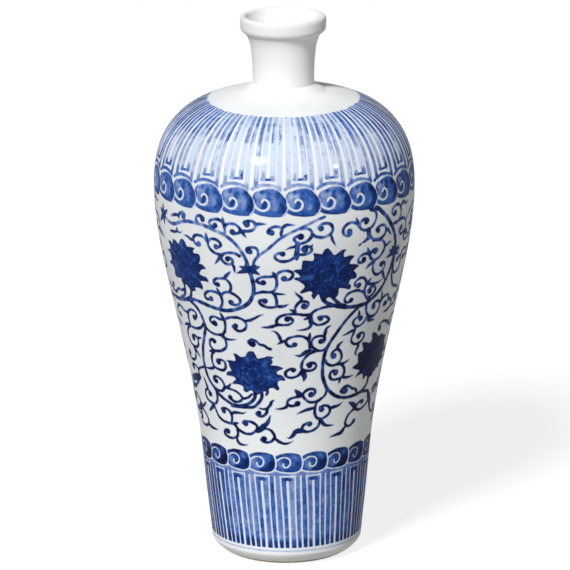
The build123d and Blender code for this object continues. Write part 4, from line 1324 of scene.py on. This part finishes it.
# Grains are a scale and a detail. Ranges are two ends and what each of them becomes.
CLOUD_GRAIN = (26, 3)
CLOUD_RANGE = (0.35, 0.75, 0, 1)
PINHOLE_GRAIN = (900, 1)
PINHOLE_RANGE = (0.70, 0.76, 0, 0.5)
WOBBLE_GRAIN = (45, 1)
WOBBLE = 0.7
BUMP_STRENGTH = 0.12
BUMP_DISTANCE = 0.0006
GLAZE_IOR = 1.5
BLEED_GRAIN = (420, 2)
BLEED = 0.5
MASK_RANGE = (-0.05, 0.6, 1, 0)
WASH_GRAIN = (330, 3)
WASH_UNEVEN = 0.34
POOL_GRAIN = (110, 2)
POOL_UNEVEN = 0.40
UNEVEN_SHIFT = -0.37
HEAP_GRAIN = (750, 2)
HEAP_RANGE = (0.58, 0.72, 0, 0.3)
EDGE_RANGE = (-0.8, 0.1, -0.12, 0.2)
POOLED_RANGE = (0.4, 0.85, 0.1, 1)
COBALT_PLACES = (0.05, 0.3, 0.55, 0.78, 1.0)
HALO_RANGE = (0.1, 1.1, 0.75, 0)
RAGGED_GRAIN = (120, 2)
RAGGED = -0.0016
BARE_FADE = (0.0012, 0.0004)
GRIT_GRAIN = (700, 3)
GRIT_RANGE = (0.3, 0.7, 0, 1)


def glaze_group():
    """The skin of the glaze: faint clouds of colour, pinholes and a low wobble of the surface."""
    group = bpy.data.node_groups.get("glaze_skin")
    if group:
        return group
    group = bpy.data.node_groups.new("glaze_skin", "ShaderNodeTree")
    for name, way, kind in (("Glaze", "INPUT", "Color"), ("Shade", "INPUT", "Color"),
                            ("Colour", "OUTPUT", "Color"), ("Height", "OUTPUT", "Float")):
        group.interface.new_socket(name, in_out=way, socket_type="NodeSocket" + kind)
    given = add(group, "NodeGroupInput")
    out = add(group, "NodeGroupOutput")
    place = add(group, "ShaderNodeTexCoord").outputs["Object"]
    clouds = ranged(group, noise(group, place, CLOUD_GRAIN), *CLOUD_RANGE)
    tint = mix_colour(group, clouds, given.outputs["Glaze"], given.outputs["Shade"])
    pinholes = ranged(group, noise(group, place, PINHOLE_GRAIN), *PINHOLE_RANGE)
    colour = mix_colour(group, pinholes, tint, given.outputs["Shade"])
    group.links.new(colour, out.inputs["Colour"])
    wobble = maths(group, "MULTIPLY_ADD", noise(group, place, WOBBLE_GRAIN), WOBBLE, pinholes)
    group.links.new(wobble, out.inputs["Height"])
    return group


def glaze_shader(tree, skin, colour):
    """The shader of a clear glaze over a colour."""
    settings = bpy.context.scene.vase_colours
    bump = add(tree, "ShaderNodeBump", strength=BUMP_STRENGTH, distance=BUMP_DISTANCE)
    tree.links.new(skin.outputs["Height"], bump.inputs["Height"])
    shader = add(tree, "ShaderNodeBsdfPrincipled", specular_ior_level=0.0, coat_weight=settings.gloss,
                 coat_ior=GLAZE_IOR, roughness=settings.gloss_roughness,
                 coat_roughness=settings.gloss_roughness)
    tree.links.new(colour, shader.inputs["Base Color"])
    tree.links.new(bump.outputs["Normal"], shader.inputs["Normal"])
    out = add(tree, "ShaderNodeOutputMaterial")
    tree.links.new(shader.outputs["BSDF"], out.inputs["Surface"])


def glaze_base(name, glaze, shade):
    """A new material with the skin of the glaze in it."""
    material = bpy.data.materials.new(name)
    material.use_nodes = True
    tree = material.node_tree
    tree.nodes.clear()
    skin = add(tree, "ShaderNodeGroup", node_tree=glaze_group())
    skin.inputs["Glaze"].default_value = (*glaze, 1)
    skin.inputs["Shade"].default_value = (*shade, 1)
    return material, tree, skin


def white_glaze():
    """Plain white glaze."""
    material = bpy.data.materials.get("white_glaze_finish")
    if not material:
        settings = bpy.context.scene.vase_colours
        material, tree, skin = glaze_base("white_glaze_finish", settings.plain_glaze, settings.plain_shade)
        glaze_shader(tree, skin, skin.outputs["Colour"])
    return material


def painted_glaze():
    """Glaze over cobalt painting, which is read from the wall's brush and load values."""
    material = bpy.data.materials.get("painted_glaze_finish")
    if material:
        return material
    settings = bpy.context.scene.vase_colours
    material, tree, skin = glaze_base("painted_glaze_finish", settings.glaze, settings.glaze_shade)
    place = add(tree, "ShaderNodeTexCoord").outputs["Object"]
    parts = add(tree, "ShaderNodeSeparateXYZ")
    tree.links.new(place, parts.inputs["Vector"])
    bare = ranged(tree, parts.outputs["Z"], PAINT_TOP * MM, BLEND_TOP * MM, 0, 1)
    for socket, low, high in (("Glaze", settings.glaze, settings.plain_glaze),
                              ("Shade", settings.glaze_shade, settings.plain_shade)):
        tree.links.new(mix_colour(tree, bare, (*low, 1), (*high, 1)), skin.inputs[socket])
    brush = add(tree, "ShaderNodeAttribute", attribute_name="brush").outputs["Fac"]
    load = add(tree, "ShaderNodeAttribute", attribute_name="load").outputs["Fac"]
    bleed = maths(tree, "MULTIPLY_ADD", noise(tree, place, BLEED_GRAIN), BLEED, brush)
    mask = ranged(tree, bleed, *MASK_RANGE)
    heaps = ranged(tree, noise(tree, place, HEAP_GRAIN), *HEAP_RANGE)
    pools = maths(tree, "MULTIPLY_ADD", noise(tree, place, POOL_GRAIN), POOL_UNEVEN, UNEVEN_SHIFT)
    uneven = maths(tree, "MULTIPLY_ADD", noise(tree, place, WASH_GRAIN), WASH_UNEVEN, pools)
    edge = ranged(tree, bleed, *EDGE_RANGE)
    tone = maths(tree, "ADD", maths(tree, "ADD", load, uneven), maths(tree, "MULTIPLY", heaps, load))
    pooled = ranged(tree, load, *POOLED_RANGE)
    tone = maths(tree, "MULTIPLY_ADD", edge, pooled, tone)
    ramp = add(tree, "ShaderNodeValToRGB")
    stops = (settings.pale_wash, settings.wash, settings.cobalt, settings.deep_cobalt,
             settings.heaped_cobalt)
    elements = ramp.color_ramp.elements
    while len(elements) < len(stops):
        elements.new(1)
    for element, position, colour in zip(elements, COBALT_PLACES, stops):
        element.position = position
        element.color = (*colour, 1)
    tree.links.new(tone, ramp.inputs["Fac"])
    halo = ranged(tree, brush, *HALO_RANGE)
    ground = mix_colour(tree, halo, skin.outputs["Colour"], (*settings.pale_wash, 1))
    glaze_shader(tree, skin, mix_colour(tree, mask, ground, ramp.outputs["Color"]))
    return material


def foot_finish():
    """White glaze that stops short of the bare, fired edge that the vase stands on."""
    material = bpy.data.materials.get("foot_finish")
    if material:
        return material
    settings = bpy.context.scene.vase_colours
    material, tree, skin = glaze_base("foot_finish", settings.plain_glaze, settings.plain_shade)
    place = add(tree, "ShaderNodeTexCoord").outputs["Object"]
    parts = add(tree, "ShaderNodeSeparateXYZ")
    tree.links.new(place, parts.inputs["Vector"])
    ragged = maths(tree, "MULTIPLY_ADD", noise(tree, place, RAGGED_GRAIN), RAGGED, parts.outputs["Z"])
    low, high = (settings.bare_height - fade for fade in BARE_FADE)
    bare = ranged(tree, ragged, low, high, 1, 0)
    grit = ranged(tree, noise(tree, place, GRIT_GRAIN), *GRIT_RANGE)
    clay = mix_colour(tree, grit, (*settings.bare_clay, 1), (*settings.burnt_clay, 1))
    glaze_shader(tree, skin, mix_colour(tree, bare, skin.outputs["Colour"], clay))
    return material


# Settings.

class VaseShape(bpy.types.PropertyGroup):
    """Sizes of the walls."""
    wall: FloatProperty(name="Wall", description="Thickness of the thrown wall", default=5 * MM,
                        unit="LENGTH")
    row_spacing: FloatProperty(name="Row spacing",
                               description="Distance between rows of a painted wall", default=0.79 * MM,
                               unit="LENGTH")
    columns: IntProperty(name="Columns", description="Columns of faces round a painted wall",
                         default=720)
    plain_wedge: IntProperty(name="Plain columns",
                             description="Columns in each tenth of an unpainted piece", default=18)


class VaseBrush(bpy.types.PropertyGroup):
    """Sizes of the painter's strokes."""
    tendril: FloatProperty(name="Tendril", description="Breadth of a tendril", default=2.15 * MM,
                           unit="LENGTH")
    knob: FloatProperty(name="Knob", description="Radius of the knob that ends a tendril",
                        default=2.25 * MM, unit="LENGTH")
    leaf: FloatProperty(name="Leaf", description="Breadth of a leaf", default=2.3 * MM, unit="LENGTH")
    white_line: FloatProperty(name="White line",
                              description="Breadth of the white lines in the lappets", default=1.3 * MM,
                              unit="LENGTH")


class VaseColours(bpy.types.PropertyGroup):
    """Colours of the glaze, the cobalt and the clay."""
    glaze: FloatVectorProperty(name="Glaze", description="Glaze over the painting", subtype="COLOR",
                               default=srgb(0xF3F6F8))
    glaze_shade: FloatVectorProperty(name="Glaze shade", description="Clouds in that glaze",
                                     subtype="COLOR", default=srgb(0xEAEEF0))
    plain_glaze: FloatVectorProperty(name="Plain glaze", description="Glaze of the neck and the foot",
                                     subtype="COLOR", default=srgb(0xF8F9F7))
    plain_shade: FloatVectorProperty(name="Plain shade", description="Clouds in that glaze",
                                     subtype="COLOR", default=srgb(0xF1F3F0))
    pale_wash: FloatVectorProperty(name="Pale wash", description="Thinnest cobalt", subtype="COLOR",
                                   default=srgb(0xCEDBF2))
    wash: FloatVectorProperty(name="Wash", description="Thin cobalt", subtype="COLOR",
                              default=srgb(0x8DA1CC))
    cobalt: FloatVectorProperty(name="Cobalt", description="Cobalt of a full brush", subtype="COLOR",
                                default=srgb(0x3A68B8))
    deep_cobalt: FloatVectorProperty(name="Deep cobalt", description="Pooled cobalt", subtype="COLOR",
                                     default=srgb(0x0F347C))
    heaped_cobalt: FloatVectorProperty(name="Heaped cobalt", description="Darkest cobalt",
                                       subtype="COLOR", default=srgb(0x000C3E))
    bare_clay: FloatVectorProperty(name="Bare clay", description="Fired clay of the foot's edge",
                                   subtype="COLOR", default=srgb(0xC9B08C))
    burnt_clay: FloatVectorProperty(name="Burnt clay", description="Darker grains of the fired clay",
                                    subtype="COLOR", default=srgb(0x9A7B55))
    bare_height: FloatProperty(name="Bare height", description="Height of the bare edge",
                               default=2 * MM, unit="LENGTH")
    gloss: FloatProperty(name="Gloss", description="Share of a full reflection that the glaze gives",
                         default=0.15, subtype="FACTOR")
    gloss_roughness: FloatProperty(name="Gloss roughness",
                                   description="Blur of the glaze's reflections", default=0.11,
                                   subtype="FACTOR")


class VaseStage(bpy.types.PropertyGroup):
    """Camera, lamps and floor."""
    distance: FloatProperty(name="Distance", description="Camera to the middle of the vase",
                            default=3.4408, unit="LENGTH")
    elevation: FloatProperty(name="Elevation", description="Camera above the level",
                             default=math.radians(15.178), subtype="ANGLE")
    roll: FloatProperty(name="Roll", description="Lean of the camera", default=math.radians(-0.4),
                        subtype="ANGLE")
    aim_height: FloatProperty(name="Aim height", description="Height that the camera looks at",
                              default=0.19871, unit="LENGTH")
    lens: FloatProperty(name="Lens", description="Focal length in mm", default=297.3)
    key: FloatProperty(name="Key", description="Strength of the light from the left", default=3.25)
    glint: FloatProperty(name="Glint", description="Power of the small lamp on the right", default=1.1,
                         unit="POWER")
    daylight: FloatProperty(name="Daylight", description="Level of the light from all round",
                            default=0.07)
    floor: FloatVectorProperty(name="Floor", description="Colour of the floor", subtype="COLOR",
                               default=(0.47, 0.46, 0.445))
    floor_white: FloatProperty(name="Floor white",
                               description="Plain white added to the floor that is seen", default=0.82)


# Operators.

def foot_of(node):
    """The lowest height of a node, in mm."""
    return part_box(node)[0].z / MM


class VASE_OT_foot_ring(bpy.types.Operator):
    """Turns the foot ring that the vase stands on"""
    bl_idname = "vase.foot_ring"
    bl_label = "Foot ring"

    def execute(self, context):
        outline = node_outline("foot_ring")
        outline[:, 1][outline[:, 1] > outline[:, 1].max() - LEVEL_TOLERANCE] = foot_of("lower_wall")
        mesh = spun_mesh("foot_ring_glazed", outline, PLAIN_WEDGES, context.scene.vase_shape.plain_wedge)
        round_off(mesh)
        place_piece(mesh, foot_finish(), "white_glaze", "foot_ring", "foot_slip")
        return {"FINISHED"}


class VASE_OT_lower_wall(bpy.types.Operator):
    """Throws the slim wall above the foot and paints its lappets"""
    bl_idname = "vase.lower_wall"
    bl_label = "Lower wall"

    def execute(self, context):
        painted_wall("lower_wall_painted", foot_of("lower_wall"), foot_of("lower_belly"),
                     FOOT_CELLS, paint_foot, "lower_wall", "lower_slip")
        return {"FINISHED"}


class VASE_OT_belly(bpy.types.Operator):
    """Throws the two belly sections and paints the scroll across them"""
    bl_idname = "vase.belly"
    bl_label = "Belly sections"

    def execute(self, context):
        sections = (("lower_belly", "upper_belly", "belly_slip"),
                    ("upper_belly", "shoulder", "shoulder_slip"))
        for section, above, slip in sections:
            painted_wall(section + "_painted", foot_of(section), foot_of(above),
                         BELLY_WEDGES, paint_scroll, section, slip)
        return {"FINISHED"}


class VASE_OT_shoulder(bpy.types.Operator):
    """Throws the shoulder and paints its lappets"""
    bl_idname = "vase.shoulder"
    bl_label = "Shoulder"

    def execute(self, context):
        def painter(canvas, brush):
            paint_scroll(canvas, brush)
            paint_shoulder(canvas, brush)

        painted_wall("shoulder_painted", foot_of("shoulder"), foot_of("neck"),
                     SHOULDER_CELLS, painter, "shoulder", "neck_slip")
        return {"FINISHED"}


class VASE_OT_neck_and_lip(bpy.types.Operator):
    """Throws the neck and the rolled lip"""
    bl_idname = "vase.neck_and_lip"
    bl_label = "Neck and lip"

    def execute(self, context):
        columns = context.scene.vase_shape.plain_wedge
        spacing = context.scene.vase_shape.row_spacing / MM
        line = blank_canvas(foot_of("neck"), foot_of("mouth_rim"), 1, spacing)
        outer = np.column_stack((line.radius, line.height))
        inside = node_outline("neck")
        bore = inside[inside[:, 0] < inside[:, 0].min() + BORE_MARGIN]
        neck = np.vstack((outer, bore[np.argsort(-bore[:, 1])]))
        lip = node_outline("mouth_rim")
        sections = (("neck", neck, ("neck", "rim_slip")), ("mouth_rim", lip, ("mouth_rim",)))
        for name, outline, nodes in sections:
            mesh = spun_mesh(name + "_glazed", outline, PLAIN_WEDGES, columns)
            round_off(mesh)
            place_piece(mesh, white_glaze(), "white_glaze", *nodes)
        return {"FINISHED"}


class VASE_OT_inside(bpy.types.Operator):
    """Glazes the floor of the vase and the slip joints that stay in sight"""
    bl_idname = "vase.inside"
    bl_label = "Inside"

    def execute(self, context):
        for name in ("base_disc", "base_slip"):
            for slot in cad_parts[name].material_slots:
                slot.material = white_glaze()
        return {"FINISHED"}


FLOOR_RADIUS = 0.62
FLOOR_SEGMENTS = 96
SEEN_FLOOR = 0.25
KEY_PLACE = (-0.94, -1.77, 1.98)
KEY_SPREAD = math.radians(12)
GLINT_PLACE = (0.557, -0.499, 0.644)
GLINT_SIZE = 0.04
DAYLIGHT_COLOUR = (1, 0.985, 0.965, 1)
SENSOR = 36


def seen_ray(tree):
    """One where a ray comes from the camera, a reflection or clear glass, and nought elsewhere."""
    path = add(tree, "ShaderNodeLightPath").outputs
    seen = maths(tree, "MAXIMUM", path["Is Camera Ray"], path["Is Glossy Ray"])
    return maths(tree, "MAXIMUM", seen, path["Is Transmission Ray"])


class VASE_OT_stage(bpy.types.Operator):
    """Sets the floor, lamps, sky and camera"""
    bl_idname = "vase.stage"
    bl_label = "Stage"

    def execute(self, context):
        settings = context.scene.vase_stage
        self.lay_floor(context, settings)
        self.light_sky(context, settings)
        aim = Vector((0, 0, settings.aim_height))
        key = self.hang_lamp(context, "key_lamp", "SUN", KEY_PLACE, aim, settings.key)
        key.angle = KEY_SPREAD
        glint = self.hang_lamp(context, "glint_lamp", "AREA", GLINT_PLACE, aim, settings.glint)
        glint.size = GLINT_SIZE
        self.set_camera(context, settings, aim)
        context.scene.view_settings.view_transform = "Standard"
        return {"FINISHED"}

    def lay_floor(self, context, settings):
        shape = bmesh.new()
        bmesh.ops.create_circle(shape, cap_ends=True, segments=FLOOR_SEGMENTS, radius=FLOOR_RADIUS)
        mesh = bpy.data.meshes.new("floor")
        shape.to_mesh(mesh)
        shape.free()
        material = bpy.data.materials.new("floor_finish")
        material.use_nodes = True
        tree = material.node_tree
        tree.nodes.clear()
        seen = seen_ray(tree)
        matt = add(tree, "ShaderNodeBsdfDiffuse")
        shown = (SEEN_FLOOR, SEEN_FLOOR, SEEN_FLOOR, 1)
        tree.links.new(mix_colour(tree, seen, (*settings.floor, 1), shown), matt.inputs["Color"])
        white = add(tree, "ShaderNodeEmission")
        tree.links.new(maths(tree, "MULTIPLY", seen, settings.floor_white), white.inputs["Strength"])
        both = add(tree, "ShaderNodeAddShader")
        tree.links.new(matt.outputs["BSDF"], both.inputs[0])
        tree.links.new(white.outputs["Emission"], both.inputs[1])
        out = add(tree, "ShaderNodeOutputMaterial")
        tree.links.new(both.outputs["Shader"], out.inputs["Surface"])
        mesh.materials.append(material)
        floor = bpy.data.objects.new("floor", mesh)
        context.scene.collection.objects.link(floor)

    def light_sky(self, context, settings):
        world = bpy.data.worlds.new("sky")
        world.use_nodes = True
        context.scene.world = world
        tree = world.node_tree
        tree.nodes.clear()
        light = add(tree, "ShaderNodeBackground", strength=settings.daylight)
        light.inputs["Color"].default_value = DAYLIGHT_COLOUR
        backdrop = add(tree, "ShaderNodeBackground", strength=1.0)
        backdrop.inputs["Color"].default_value = (1, 1, 1, 1)
        mixed = add(tree, "ShaderNodeMixShader")
        tree.links.new(seen_ray(tree), mixed.inputs[0])
        tree.links.new(light.outputs["Background"], mixed.inputs[1])
        tree.links.new(backdrop.outputs["Background"], mixed.inputs[2])
        out = add(tree, "ShaderNodeOutputWorld")
        tree.links.new(mixed.outputs["Shader"], out.inputs["Surface"])

    def hang_lamp(self, context, name, kind, place, aim, power):
        lamp = bpy.data.lights.new(name, kind)
        lamp.energy = power
        holder = bpy.data.objects.new(name, lamp)
        context.scene.collection.objects.link(holder)
        holder.location = place
        holder.rotation_euler = (aim - holder.location).to_track_quat("-Z", "Y").to_euler()
        return lamp

    def set_camera(self, context, settings, aim):
        lens = bpy.data.cameras.new("camera")
        lens.sensor_width = SENSOR
        lens.lens = settings.lens
        camera = bpy.data.objects.new("camera", lens)
        context.scene.collection.objects.link(camera)
        back = Vector((0, -math.cos(settings.elevation), math.sin(settings.elevation)))
        camera.location = aim + settings.distance * back
        turn = (-back).to_track_quat("-Z", "Y").to_matrix() @ Matrix.Rotation(settings.roll, 3, "Z")
        camera.rotation_euler = turn.to_euler()
        context.scene.camera = camera


class VASE_PT_builder(bpy.types.Panel):
    """Lists the steps that build the vase"""
    bl_idname = "VASE_PT_builder"
    bl_label = "Vase"
    bl_space_type = "VIEW_3D"
    bl_region_type = "UI"
    bl_category = "Vase"

    def draw(self, context):
        for operator in OPERATORS:
            self.layout.operator(operator.bl_idname)


SETTINGS = {"vase_shape": VaseShape, "vase_brush": VaseBrush, "vase_colours": VaseColours,
            "vase_stage": VaseStage}
OPERATORS = (VASE_OT_foot_ring, VASE_OT_lower_wall, VASE_OT_belly, VASE_OT_shoulder, VASE_OT_neck_and_lip,
             VASE_OT_inside, VASE_OT_stage)


def register():
    for group in SETTINGS.values():
        bpy.utils.register_class(group)
    for name, group in SETTINGS.items():
        setattr(bpy.types.Scene, name, PointerProperty(type=group))
    for kind in (*OPERATORS, VASE_PT_builder):
        bpy.utils.register_class(kind)


def unregister():
    for kind in (VASE_PT_builder, *reversed(OPERATORS)):
        bpy.utils.unregister_class(kind)
    for name in SETTINGS:
        delattr(bpy.types.Scene, name)
    for group in reversed(SETTINGS.values()):
        bpy.utils.unregister_class(group)


def main():
    register()
    bpy.ops.vase.foot_ring()
    bpy.ops.vase.lower_wall()
    bpy.ops.vase.belly()
    bpy.ops.vase.shoulder()
    bpy.ops.vase.neck_and_lip()
    bpy.ops.vase.inside()
    bpy.ops.vase.stage()


if __name__ == "__main__":
    main()
